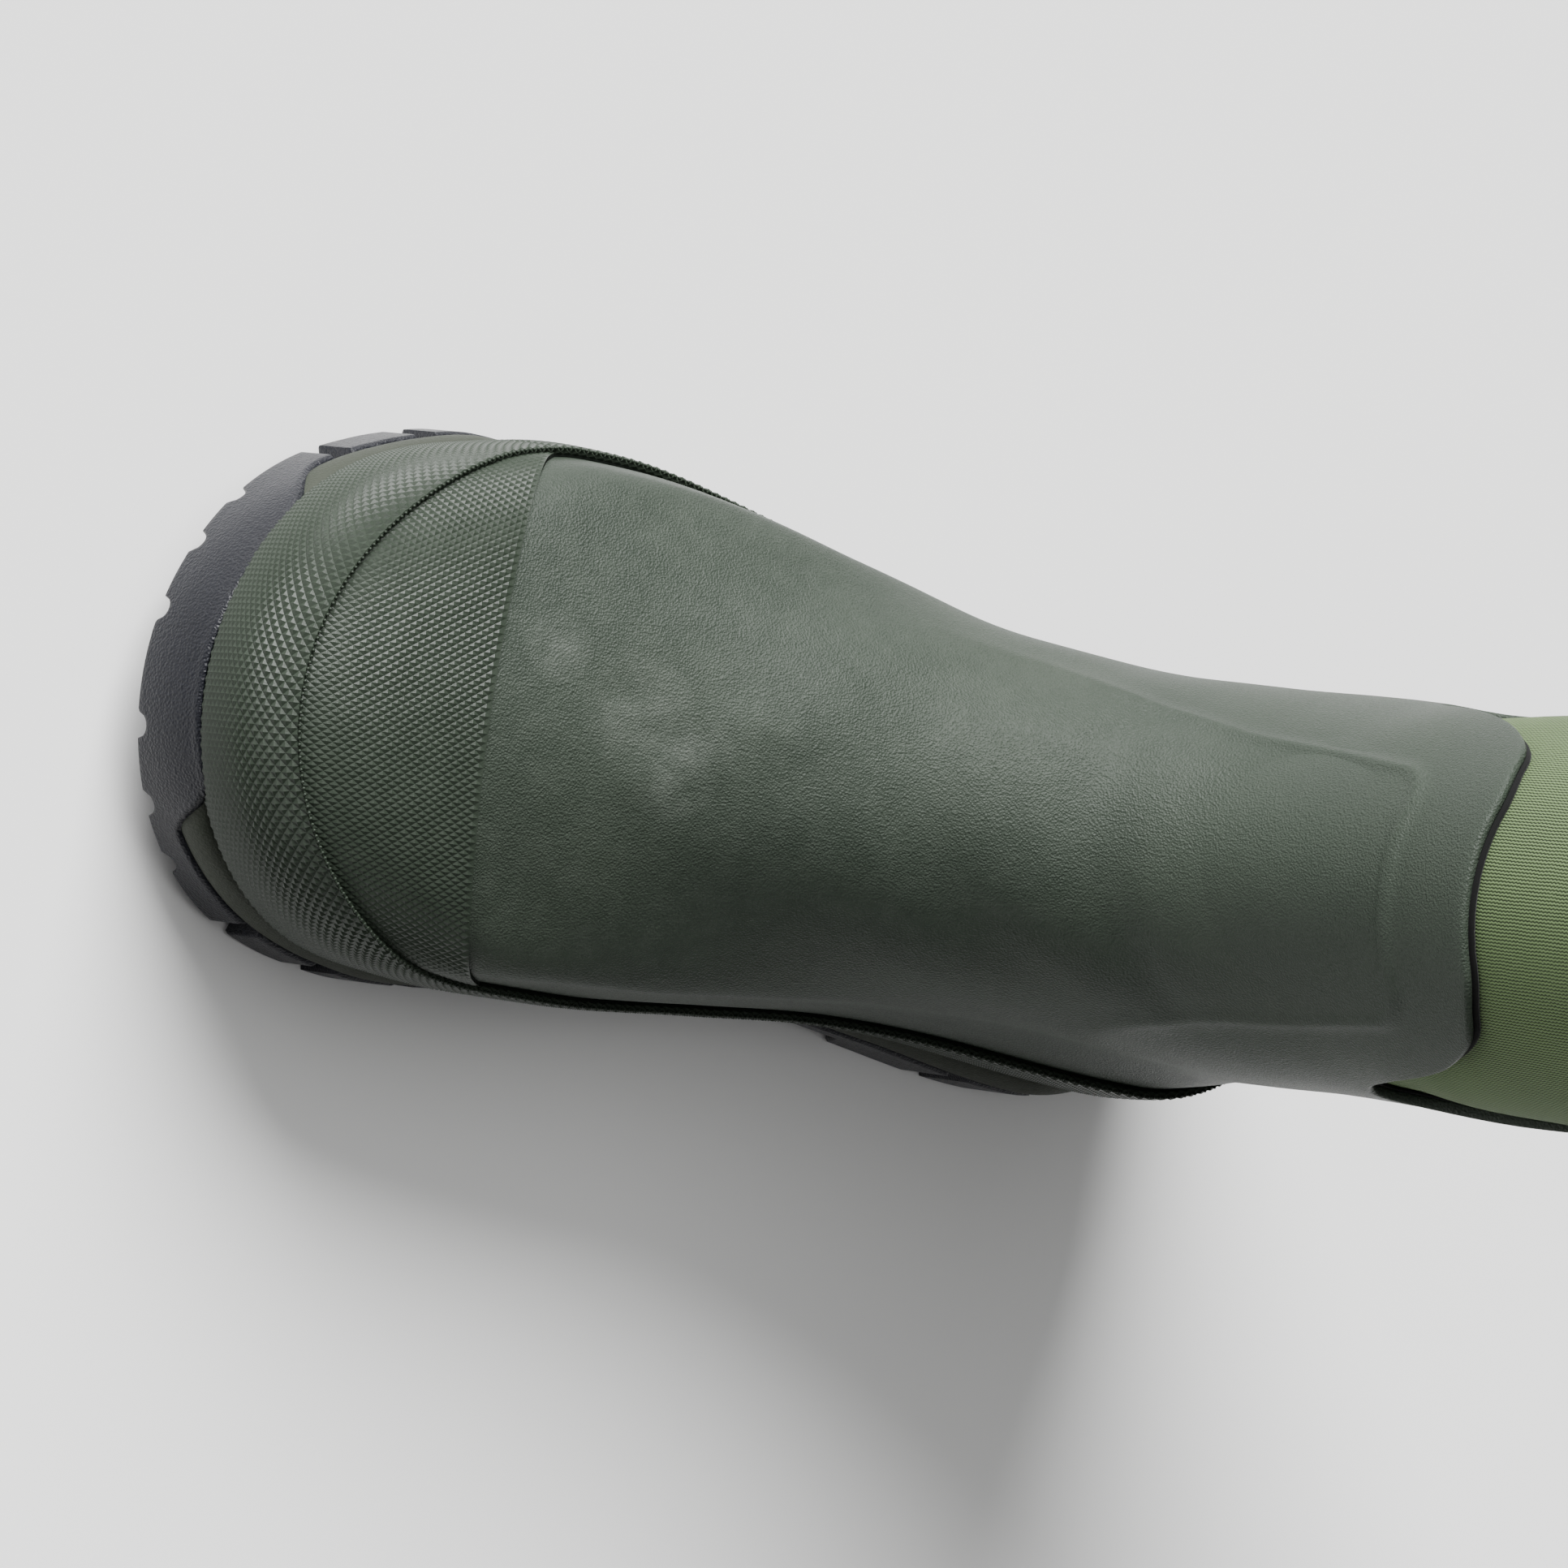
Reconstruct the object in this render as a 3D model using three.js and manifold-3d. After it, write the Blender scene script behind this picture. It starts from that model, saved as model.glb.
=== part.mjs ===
// A right rubber boot: a hollow rubber upper with a textured toe cap and foxing bands,
// a smooth midsole band, a lugged outsole with a toe bumper, and a neoprene shaft.
// Millimetres, +Z up, toe towards +X, the wearer's inner side towards +Y.
// The origin is on the floor, under the middle of the heel.
import * as THREE from "three";
import { mergeVertices } from "three/addons/utils/BufferGeometryUtils.js";
import Module from "manifold-3d";

const wasm = await Module();
wasm.setup();

// The last, which gives every outline
const lastLength = 294;
const heelCentre = 0.134 * lastLength;
const ballWidth = 111;
const ankleHeight = 160;
const ankleWidth = 85;
const ankleLean = 2.5;
const collarHeight = 390;
const collarWidth = 109.5;
const collarLean = 4;
const heelSeat = 26;

// The walls, and the gap that bonded pieces keep between them
const rubberWall = 2.4;
const neopreneWall = 5;
const gap = 0.3;
const sleeveGap = 0.8;
const capThickness = 0.9;
const foxingThickness = 1.9;

// The top line of the rubber
const rubberFront = 218;
const sideNotch = 158;
const rubberBack = 226;

// The overlays
const foxingHeight = 50;
const capRearAt = 0.852;
const capRearHeight = 67;
const capRearLean = 23;
const capRearDrop = 19;
const capRearTurn = 3.4;
const seamOuterAt = 0.795;
const seamInnerAt = 0.767;
const seamGap = 0.4;

// The sole
const soleToe = 6.5;
const soleHeel = 6.5;
const soleToeRound = 58;
const soleHeelRound = 47;
const midsoleThickness = 9;
const midsoleInset = 3.3;
const midsoleRound = 1.6;
const footbedThickness = 4;
const footbedGap = 0.5;

// The tread
const lugGap = 4.6;
const lugReach = 15;
const ringGroove = 4.2;
const firstGap = 41;
const treadPitch = 23;
const sideGapCount = 5;
const heelBreastAt = 0.275;
const heelPitch = 25;
const heelGapCount = 3;
const toeGrooveRadius = 2.8;
const toeGrooveAngles = [12.5, 30, 46];
const barReach = 0.3 * ballWidth;
const barBend = 7;
const heelBarReach = 0.24 * ballWidth;
const heelBarPlace = 12.6;

// The toe bumper
const bumperTop = 30;
const bumperLean = 2;
const bumperSlope = 15;
const bumperOuterEnd = 20;
const bumperInnerEnd = 9;
const bumperInnerSide = 0.25 * ballWidth;

// How finely the curves are cut
const around = 48;
const wide = 400;
const tiny = 1e-3;

// Sections of the upper from the sole to the ankle. rise: height above the heel seat, as a share
// of the ankle's rise. front and back: shares of the last's length. toe and heel: how much of
// the section's own length each rounded end takes. spread: width against the plan's.
// leg: how far the leg's oval has replaced the foot's plan. sag: how far it follows the sole.
const FOOT = [
  { rise: 0.0, front: 1.0, back: 0.0, toe: 0.172, heel: 0.141, spread: 1.0, leg: 0, sag: 1 },
  { rise: 0.05, front: 1.009, back: -0.006, toe: 0.173, heel: 0.141, spread: 1.018, leg: 0, sag: 0.87 },
  { rise: 0.12, front: 1.014, back: -0.01, toe: 0.176, heel: 0.142, spread: 1.03, leg: 0, sag: 0.68 },
  { rise: 0.2, front: 0.999, back: -0.014, toe: 0.185, heel: 0.144, spread: 1.015, leg: 0, sag: 0.44 },
  { rise: 0.27, front: 0.953, back: -0.013, toe: 0.235, heel: 0.15, spread: 0.99, leg: 0.02, sag: 0.25 },
  { rise: 0.33, front: 0.866, back: -0.01, toe: 0.33, heel: 0.165, spread: 0.96, leg: 0.08, sag: 0.12 },
  { rise: 0.41, front: 0.756, back: -0.002, toe: 0.46, heel: 0.2, spread: 0.93, leg: 0.25, sag: 0.04 },
  { rise: 0.51, front: 0.653, back: 0.009, toe: 0.565, heel: 0.26, spread: 0.92, leg: 0.5, sag: 0 },
  { rise: 0.61, front: 0.554, back: 0.019, toe: 0.63, heel: 0.33, spread: 0.93, leg: 0.75, sag: 0 },
  { rise: 0.725, front: 0.474, back: 0.027, toe: 0.61, heel: 0.39, spread: 0.96, leg: 0.92, sag: 0 },
  { rise: 0.85, front: 0.421, back: 0.031, toe: 0.55, heel: 0.45, spread: 1, leg: 1, sag: 0 },
  { rise: 1.0, front: 0.395, back: 0.029, toe: 0.51, heel: 0.49, spread: 1, leg: 1, sag: 0 },
];

// Sections from the ankle to the collar. climb: share of the height between them. flare: how far
// the width, and the lean to the outer side, have gone from the ankle's to the collar's.
const LEG = [
  { climb: 0.11, front: 0.387, back: 0.0223, flare: 0.17 },
  { climb: 0.25, front: 0.386, back: 0.0103, flare: 0.3 },
  { climb: 0.5, front: 0.391, back: -0.0137, flare: 0.55 },
  { climb: 0.75, front: 0.3995, back: -0.034, flare: 0.79 },
  { climb: 1.0, front: 0.41, back: -0.048, flare: 1 },
];

// The plan. at: share of the last's length from its back. half: half width of the upper, and
// swing: how far its middle lies towards the inner side, both as shares of the ball's width.
// soleHalf and soleSwing: the same for the lugs' outline.
const PLAN = [
  { at: 0.0, half: 0.378, swing: 0.0, soleHalf: 0.432, soleSwing: 0.0 },
  { at: 0.14, half: 0.382, swing: 0.0, soleHalf: 0.437, soleSwing: 0.0 },
  { at: 0.3, half: 0.378, swing: -0.012, soleHalf: 0.415, soleSwing: -0.012 },
  { at: 0.42, half: 0.398, swing: -0.028, soleHalf: 0.408, soleSwing: -0.03 },
  { at: 0.55, half: 0.448, swing: -0.04, soleHalf: 0.466, soleSwing: -0.04 },
  { at: 0.68, half: 0.489, swing: -0.042, soleHalf: 0.52, soleSwing: -0.042 },
  { at: 0.76, half: 0.494, swing: -0.035, soleHalf: 0.536, soleSwing: -0.035 },
  { at: 0.86, half: 0.464, swing: -0.012, soleHalf: 0.492, soleSwing: -0.012 },
  { at: 1.0, half: 0.434, swing: 0.012, soleHalf: 0.458, soleSwing: 0.012 },
];

// The sole from the side. at: share of the last's length. tread, root and seat: heights of the
// lugs' ends, of the grooves between them and of the feather line, as shares of the heel seat's.
const SIDE = [
  { at: -0.03, tread: 0.13, root: 0.23, seat: 1.0 },
  { at: 0.01, tread: 0.0, root: 0.23, seat: 1.0 },
  { at: 0.15, tread: 0.0, root: 0.23, seat: 1.0 },
  { at: 0.278, tread: 0.0, root: 0.24, seat: 1.0 },
  { at: 0.3, tread: 0.36, root: 0.35, seat: 0.99 },
  { at: 0.42, tread: 0.36, root: 0.35, seat: 0.96 },
  { at: 0.52, tread: 0.2, root: 0.28, seat: 0.89 },
  { at: 0.575, tread: 0.0, root: 0.24, seat: 0.85 },
  { at: 0.7, tread: 0.0, root: 0.23, seat: 0.81 },
  { at: 0.82, tread: 0.0, root: 0.23, seat: 0.81 },
  { at: 0.88, tread: 0.08, root: 0.31, seat: 0.87 },
  { at: 0.95, tread: 0.25, root: 0.46, seat: 0.98 },
  { at: 1.03, tread: 0.5, root: 0.68, seat: 1.12 },
];

// The foxing's top edge. at: share of the last's length. top: share of foxingHeight.
const FOXING = [
  { at: -0.05, top: 1.16 },
  { at: 0.06, top: 1.14 },
  { at: 0.2, top: 1.02 },
  { at: 0.4, top: 0.88 },
  { at: 0.6, top: 0.86 },
  { at: 0.77, top: 0.95 },
  { at: 0.9, top: 1.06 },
  { at: 1.05, top: 1.12 },
];

// The rubber's top line, turning from the front round to the back. turn: share of half the way
// around. rest: share of the front's or the back's rise above the side notch that is left there.
const TOPLINE = [
  { turn: 0.0, rest: 1.0 },
  { turn: 0.12, rest: 1.0 },
  { turn: 0.19, rest: 0.96 },
  { turn: 0.25, rest: 0.88 },
  { turn: 0.3, rest: 0.7 },
  { turn: 0.37, rest: 0.3 },
  { turn: 0.43, rest: 0.06 },
  { turn: 0.47, rest: 0.0 },
  { turn: 0.52, rest: 0.1 },
  { turn: 0.58, rest: 0.45 },
  { turn: 0.65, rest: 0.8 },
  { turn: 0.75, rest: 0.97 },
  { turn: 1.0, rest: 1.0 },
];

// The midsole's edge. share: height between its lower and upper faces. tuck: share of its round.
const EDGE = [
  { share: 0, tuck: 1 },
  { share: 0.22, tuck: 0.3 },
  { share: 0.5, tuck: 0 },
  { share: 0.78, tuck: 0.3 },
  { share: 1, tuck: 1 },
];

// The bumper's face. share: height up to its top. tuck: share of its lean.
const FACE = [
  { share: -0.2, tuck: 0 },
  { share: 0.55, tuck: 0 },
  { share: 0.88, tuck: 0.4 },
  { share: 1, tuck: 1 },
];

const mix = (a, b, share) => a + (b - a) * share;
const alongLast = (share) => lastLength * share - heelCentre;
const shareOf = (x) => (x + heelCentre) / lastLength;

// A smooth curve through one column of a table, flat beyond its ends.
function read(table, key, column, position) {
  const last = table.length - 1;
  if (position <= table[0][key]) return table[0][column];
  if (position >= table[last][key]) return table[last][column];
  let i = 0;
  while (table[i + 1][key] < position) i++;
  const step = (k) => table[k + 1][key] - table[k][key];
  const rate = (k) => (table[k + 1][column] - table[k][column]) / step(k);
  const slope = (k) => {
    if (k === 0) return rate(0);
    if (k === last) return rate(last - 1);
    if (rate(k - 1) * rate(k) <= 0) return 0;
    return (rate(k - 1) * step(k) + rate(k) * step(k - 1)) / (step(k - 1) + step(k));
  };
  const h = step(i);
  const t = (position - table[i][key]) / h;
  const a = table[i][column];
  const b = table[i + 1][column];
  const bend = (t - 1) * (t - 1) * t * h * slope(i) + t * t * (t - 1) * h * slope(i + 1);
  return a + (b - a) * t * t * (3 - 2 * t) + bend;
}

// All sections in one table, each with its own height and its half width at the leg.
const SECTIONS = [
  ...FOOT.map((row) => ({
    ...row,
    height: mix(heelSeat, ankleHeight, row.rise),
    legHalf: ankleWidth / 2,
    legSwing: -ankleLean,
  })),
  ...LEG.map((row) => ({
    ...row,
    toe: 0.5,
    heel: 0.5,
    spread: 1,
    leg: 1,
    sag: 0,
    height: mix(ankleHeight, collarHeight, row.climb),
    legHalf: mix(ankleWidth, collarWidth, row.flare) / 2,
    legSwing: -mix(ankleLean, collarLean, row.flare),
  })),
].map((row, level) => ({ ...row, level }));
const ankleLevel = FOOT.length - 1;
// The neoprene starts inside the rubber where the foot is halfway to the leg's oval.
const sleeveLevel = FOOT.findIndex((row) => row.leg === 0.5);
const collarLevel = SECTIONS.length - 1;

// The levels at which the foot is sliced, closer together where the toe and the instep turn.
const footLevels = [0, 1, 2, 2.5, 3, 3.5, 4, 5, 6, 7, 8, 9, 9.5, 10];

const seatHeight = (x) => heelSeat * read(SIDE, "at", "seat", shareOf(x));
const treadHeight = (x) => heelSeat * Math.max(0, read(SIDE, "at", "tread", shareOf(x)));
const rootHeight = (x) => heelSeat * read(SIDE, "at", "root", shareOf(x));
const outsoleTop = (x) => seatHeight(x) - midsoleThickness;
const foxingTop = (x) => foxingHeight * read(FOXING, "at", "top", shareOf(x));

// A quarter round that reaches its full width when the distance from the end is one.
const roundEnd = (distance) =>
  distance >= 1 ? 1 : Math.sqrt(Math.max(0, 1 - (1 - distance) * (1 - distance)));

// A point of the upper's outer face. turn goes once around, from the toe by the outer side.
function facePoint(level, turn) {
  const at = (column) => read(SECTIONS, "level", column, level);
  const angle = 2 * Math.PI * turn;
  const front = alongLast(at("front"));
  const back = alongLast(at("back"));
  const length = front - back;
  const x = mix(back, front, (1 + Math.cos(angle)) / 2);
  const leg = at("leg");
  const foot = read(PLAN, "at", "half", shareOf(x)) * ballWidth * at("spread");
  const ends =
    roundEnd((front - x) / (length * at("toe"))) *
    roundEnd((x - back) / (length * at("heel")));
  const half = mix(foot, at("legHalf"), leg) * ends;
  const swing = mix(read(PLAN, "at", "swing", shareOf(x)) * ballWidth, at("legSwing"), leg);
  const side = Math.sin(angle) > 0 ? -1 : 1;
  const z = at("height") + at("sag") * (seatHeight(x) - heelSeat);
  return new THREE.Vector3(x, swing + side * half, z);
}

// The same point moved outwards by grow. The lowest and highest sections move level, so that
// their edges stay flat.
function offsetPoint(level, turn, grow) {
  const here = facePoint(level, turn);
  if (grow === 0) return here;
  const low = Math.max(0, level - 0.05);
  const high = Math.min(collarLevel, level + 0.05);
  const up = facePoint(high, turn).sub(facePoint(low, turn));
  const on = facePoint(level, turn + 0.002).sub(facePoint(level, turn - 0.002));
  const out = up.cross(on);
  out.z *= Math.min(1, level, collarLevel - level);
  return here.addScaledVector(out.normalize(), grow);
}

const turns = Array.from({ length: around }, (_, i) => i / around);
const ring = (level, grow) => turns.map((turn) => offsetPoint(level, turn, grow));

// The level of the rubber's top line at a turn, found by halving.
function toplineLevel(turn) {
  const way = turn <= 0.5 ? 2 * turn : 2 - 2 * turn;
  const rest = read(TOPLINE, "turn", "rest", way);
  const full = way < 0.47 ? rubberFront : rubberBack;
  const height = mix(sideNotch, full, rest);
  let low = ankleLevel - 2;
  let high = collarLevel;
  for (let i = 0; i < 30; i++) {
    const middle = (low + high) / 2;
    if (read(SECTIONS, "level", "height", middle) < height) low = middle;
    else high = middle;
  }
  return (low + high) / 2;
}

// A closed solid from rings of equal length, each joined to the next. With tube, the last ring
// joins the first, so the solid is hollow; without it, both ends are capped.
function solidFromRings(rings, tube = false) {
  const count = rings[0].length;
  const verts = rings.flat().flatMap((p) => [p.x, p.y, p.z]);
  const tris = [];
  const steps = tube ? rings.length : rings.length - 1;
  for (let r = 0; r < steps; r++) {
    const low = r * count;
    const high = ((r + 1) % rings.length) * count;
    for (let i = 0; i < count; i++) {
      const j = (i + 1) % count;
      tris.push(low + i, high + i, low + j, low + j, high + i, high + j);
    }
  }
  if (!tube) {
    const top = (rings.length - 1) * count;
    for (let i = 0; i < count / 2; i++) {
      const [a, b, c, d] = [i, i + 1, count - i - 1, (count - i) % count];
      if (b !== c) tris.push(a, b, c, top + a, top + c, top + b);
      if (d !== a) tris.push(a, c, d, top + a, top + d, top + c);
    }
  }
  return solidFromArrays(verts, tris);
}

function solidFromArrays(verts, tris) {
  const build = (list) =>
    new wasm.Manifold(
      new wasm.Mesh({
        numProp: 3,
        vertProperties: new Float32Array(verts),
        triVerts: new Uint32Array(list),
      }),
    );
  const made = build(tris);
  if (made.volume() > 0) return made;
  const turned = [];
  for (let i = 0; i < tris.length; i += 3) {
    turned.push(tris[i], tris[i + 2], tris[i + 1]);
  }
  return build(turned);
}

function solidFromGeometry(geometry) {
  geometry.deleteAttribute("normal");
  geometry.deleteAttribute("uv");
  const merged = mergeVertices(geometry, tiny);
  return solidFromArrays([...merged.attributes.position.array], [...merged.index.array]);
}

const shapeOf = (points) => new THREE.Shape(points.map(([x, y]) => new THREE.Vector2(x, y)));

// A prism standing on a plan outline of [x, y] points.
function planPrism(points, low, high) {
  const geometry = new THREE.ExtrudeGeometry(shapeOf(points), {
    depth: high - low,
    bevelEnabled: false,
  });
  return solidFromGeometry(geometry.translate(0, 0, low));
}

// A prism across the boot from a side outline of [x, z] points.
function sidePrism(points) {
  const geometry = new THREE.ExtrudeGeometry(shapeOf(points), { depth: wide, bevelEnabled: false });
  return solidFromGeometry(geometry.rotateX(Math.PI / 2).translate(0, wide / 2, 0));
}

// A side prism between two heights that change along the boot.
function slab(low, high, from = -0.06, to = 1.06, steps = 38) {
  const xs = Array.from({ length: steps + 1 }, (_, i) => alongLast(mix(from, to, i / steps)));
  const points = xs.map((x) => [x, low(x)]);
  return sidePrism([...points, ...xs.reverse().map((x) => [x, high(x)])]);
}

// The lugs' plan outline, moved outwards by grow: its points from the toe by the outer side.
function solePoint(turn, grow) {
  const front = alongLast(1) + soleToe + grow;
  const back = alongLast(0) - soleHeel - grow;
  const x = mix(back, front, (1 + Math.cos(2 * Math.PI * turn)) / 2);
  const width = read(PLAN, "at", "soleHalf", shareOf(x)) * ballWidth + grow;
  const ends =
    roundEnd((front - x) / (soleToeRound + grow)) * roundEnd((x - back) / (soleHeelRound + grow));
  const side = Math.sin(2 * Math.PI * turn) > 0 ? -1 : 1;
  return [x, read(PLAN, "at", "soleSwing", shareOf(x)) * ballWidth + side * width * ends];
}

const soleOutline = (grow) => turns.map((turn) => solePoint(turn, grow));

// The turn at which the sole's outline has this x, on the outer side.
function soleTurn(x) {
  const front = alongLast(1) + soleToe;
  const back = alongLast(0) - soleHeel;
  return Math.acos((2 * (x - back)) / (front - back) - 1) / (2 * Math.PI);
}

// A filled form of the boot's lower part, grown from the upper's own face.
function filledFoot(grow) {
  const levels = footLevels.filter((level) => level < sleeveLevel);
  const rings = levels.map((level) => ring(level, grow));
  const below = rings[0].map((p) => new THREE.Vector3(p.x, p.y, p.z - midsoleThickness));
  return solidFromRings([below, ...rings]);
}

const overlayBand = (thickness) => filledFoot(gap + thickness).subtract(filledFoot(gap));

function makeUpper() {
  const edge = turns.map(toplineLevel);
  const steps = [0.25, 0.5, 0.75, 1];
  const base = footLevels.at(-1);
  const climbing = (share, grow) =>
    turns.map((turn, i) => offsetPoint(mix(base, edge[i], share), turn, grow));
  const wallRings = (grow) => [
    ...footLevels.map((level) => ring(level, grow)),
    ...steps.map((share) => climbing(share, grow)),
  ];
  const outer = wallRings(0);
  const inner = wallRings(-rubberWall);
  for (const point of [...outer[0], ...inner[0]]) point.z += gap;
  return solidFromRings([...outer, ...inner.reverse()], true);
}

function makeShaft() {
  const legLevels = LEG.map((row, i) => ankleLevel + 1 + i);
  const footPart = footLevels.filter((level) => level >= sleeveLevel);
  const levels = [...footPart, ankleLevel, ankleLevel + 0.5, ...legLevels];
  const outside = -(rubberWall + sleeveGap);
  const outer = levels.map((level) => ring(level, outside));
  const inner = levels.map((level) => ring(level, outside - neopreneWall));
  return solidFromRings([...outer, ...inner.reverse()], true);
}

// The foxing bands lie between the midsole and their own top edge, and part at two side seams.
function makeFoxing() {
  const band = overlayBand(foxingThickness).intersect(
    slab((x) => seatHeight(x) + gap, foxingTop),
  );
  const seam = (shift) => [
    [alongLast(seamOuterAt) + shift, -ballWidth / 2],
    [alongLast(seamInnerAt) + shift, ballWidth / 2],
  ];
  const side = (shift, end) => [
    [end, -wide],
    [alongLast(seamOuterAt) + shift, -wide],
    ...seam(shift),
    [alongLast(seamInnerAt) + shift, wide],
    [end, wide],
  ];
  const ahead = planPrism(side(seamGap / 2, wide), -wide, wide);
  const behind = planPrism(side(-seamGap / 2, -wide), -wide, wide);
  return { toeFoxing: band.intersect(ahead), sideFoxing: band.intersect(behind) };
}

// The toe cap lies above the foxing and ahead of a line that leans forwards as it climbs, and
// is turned a little towards the outer side.
function makeToeCap() {
  const lean = capRearLean / capRearDrop;
  const rearAt = (z) => alongLast(capRearAt) + (z - capRearHeight) * lean;
  const low = capRearHeight - 2 * capRearDrop;
  const high = capRearHeight + 2 * capRearDrop;
  const region = sidePrism([
    [rearAt(high), high],
    [rearAt(low), low],
    [wide, low],
    [wide, high],
  ]);
  const middle = alongLast(capRearAt);
  const turned = region.translate([-middle, 0, 0]).rotate([0, 0, capRearTurn]);
  const above = slab((x) => foxingTop(x) + gap, () => high);
  return overlayBand(capThickness).intersect(above).intersect(turned.translate([middle, 0, 0]));
}

function makeMidsole() {
  const rings = EDGE.map(({ share, tuck }) =>
    soleOutline(-midsoleInset - tuck * midsoleRound).map(
      ([x, y]) => new THREE.Vector3(x, y, mix(outsoleTop(x), seatHeight(x), share)),
    ),
  );
  return solidFromRings(rings);
}

function makeInsole() {
  const inside = ring(0, -rubberWall - footbedGap).map((p) => [p.x, p.y]);
  const under = (x) => seatHeight(x) + gap;
  return planPrism(inside, 0, wide).intersect(slab(under, (x) => under(x) + footbedThickness));
}

// A box laid across the sole's edge at x, to cut the gap between two lugs.
function edgeGap(x, inner) {
  const turn = inner ? 1 - soleTurn(x) : soleTurn(x);
  const [px, py] = solePoint(turn, 0);
  const [ax, ay] = solePoint(turn - 0.004, 0);
  const [bx, by] = solePoint(turn + 0.004, 0);
  const along = new THREE.Vector2(bx - ax, by - ay).normalize();
  const out = new THREE.Vector2(-along.y, along.x);
  const corner = (a, b) => [px + along.x * a + out.x * b, py + along.y * a + out.y * b];
  const half = lugGap / 2;
  const box = [
    corner(-half, -lugReach),
    corner(half, -lugReach),
    corner(half, lugReach),
    corner(-half, lugReach),
  ];
  return planPrism(box, -wide, wide);
}

// A round groove that runs out through the toe's edge, turned by degrees about the toe's arc.
function toeGroove(degrees) {
  const angle = THREE.MathUtils.degToRad(degrees);
  const centre = alongLast(1) + soleToe - soleToeRound;
  const aside = read(PLAN, "at", "soleSwing", 1) * ballWidth;
  const length = 3 * lugReach;
  const geometry = new THREE.CylinderGeometry(toeGrooveRadius, toeGrooveRadius, length, 12);
  geometry.rotateZ(Math.PI / 2).translate(soleToeRound, 0, 0);
  geometry.rotateZ(angle).translate(centre, aside, 0);
  const edge = centre + soleToeRound * Math.cos(angle);
  return solidFromGeometry(geometry.translate(0, 0, treadHeight(edge)));
}

// A groove across the middle of the tread, bent forwards by bend at its middle.
function barGroove(x, reach, bend) {
  const points = [
    [x, -reach],
    [x + bend, 0],
    [x, reach],
    [x + lugGap, reach],
    [x + lugGap + bend, 0],
    [x + lugGap, -reach],
  ];
  return planPrism(points, -wide, wide);
}

// A groove that follows the edge, between the outer lugs and the tread's middle.
function ringCut() {
  const outside = planPrism(soleOutline(-lugReach), -wide, wide);
  return outside.subtract(planPrism(soleOutline(-lugReach - ringGroove), -2 * wide, 2 * wide));
}

const union = (solids) => wasm.Manifold.union(solids);
const places = (count, first, pitch) => Array.from({ length: count }, (_, i) => first + i * pitch);

function makeOutsole() {
  const tip = alongLast(1) + soleToe;
  const lugZone = planPrism(soleOutline(0), -wide, wide);
  const midZone = planPrism(soleOutline(-midsoleInset + gap), -2 * wide, 2 * wide);
  const plate = lugZone.intersect(slab(treadHeight, (x) => outsoleTop(x) - gap));
  const sideGaps = places(sideGapCount, tip - firstGap, -treadPitch);
  const heelGaps = places(heelGapCount, alongLast(heelBreastAt) - heelPitch, -heelPitch);
  const edgeCuts = union(
    [...sideGaps, ...heelGaps].flatMap((x) => [edgeGap(x, false), edgeGap(x, true)]),
  );
  const bars = sideGaps.map((x) => barGroove(x - treadPitch / 2, barReach, barBend));
  const heelBars = [-heelBarPlace, heelBarPlace].map((x) =>
    barGroove(x - lugGap / 2, heelBarReach, 0),
  );
  const rootZone = slab(() => -wide, rootHeight);
  const treadCuts = union([edgeCuts, ringCut(), ...bars, ...heelBars]).intersect(rootZone);
  const toeCuts = toeGrooveAngles.flatMap((degrees) => [toeGroove(degrees), toeGroove(-degrees)]);
  return plate
    .subtract(treadCuts)
    .subtract(edgeCuts.subtract(midZone))
    .add(makeBumper(midZone))
    .subtract(union(toeCuts));
}

// The toe bumper: a rim outside the midsole's line that climbs to the foxing's lower edge. It
// ends in a slope on the outer side and in a step on the inner side.
function makeBumper(midZone) {
  const tip = alongLast(1) + soleToe;
  const start = tip - bumperOuterEnd;
  const face = FACE.map(({ share, tuck }) =>
    soleOutline(-tuck * bumperLean).map(([x, y]) => new THREE.Vector3(x, y, share * bumperTop)),
  );
  const ahead = [
    [start - bumperSlope, -ballWidth],
    [start, 0],
    [tip - bumperInnerEnd, bumperInnerSide],
    [tip - bumperInnerEnd, ballWidth],
    [wide, ballWidth],
    [wide, -ballWidth],
  ];
  const climb = [
    [start - bumperSlope, outsoleTop(start) - gap],
    [start + bumperSlope, bumperTop],
    [wide, bumperTop],
    [wide, 0],
    [start - bumperSlope, 0],
  ];
  return solidFromRings(face)
    .intersect(slab(rootHeight, () => wide, 0.5))
    .intersect(planPrism(ahead, -wide, wide))
    .intersect(sidePrism(climb))
    .subtract(midZone)
    .subtract(filledFoot(2 * gap + foxingThickness));
}

const rubberGreen = new THREE.MeshStandardMaterial({ color: 0x3c4a3e, roughness: 0.55 });
const bandGreen = new THREE.MeshStandardMaterial({ color: 0x4a5346, roughness: 0.6 });
const soleBlack = new THREE.MeshStandardMaterial({ color: 0x2c3038, roughness: 0.6 });
const neopreneGreen = new THREE.MeshStandardMaterial({ color: 0x66804f, roughness: 0.9 });
const footbedGrey = new THREE.MeshStandardMaterial({ color: 0x3a3d3a, roughness: 0.95 });

function meshOf(name, solid, material) {
  const made = solid.getMesh();
  const geometry = new THREE.BufferGeometry();
  const position = new Float32Array(made.numVert * 3);
  for (let i = 0; i < made.numVert; i++) {
    const at = i * made.numProp;
    position.set(made.vertProperties.subarray(at, at + 3), i * 3);
  }
  geometry.setAttribute("position", new THREE.BufferAttribute(position, 3));
  geometry.setIndex(new THREE.BufferAttribute(made.triVerts, 1));
  geometry.computeVertexNormals();
  const mesh = new THREE.Mesh(geometry, material);
  mesh.name = name;
  return mesh;
}

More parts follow.
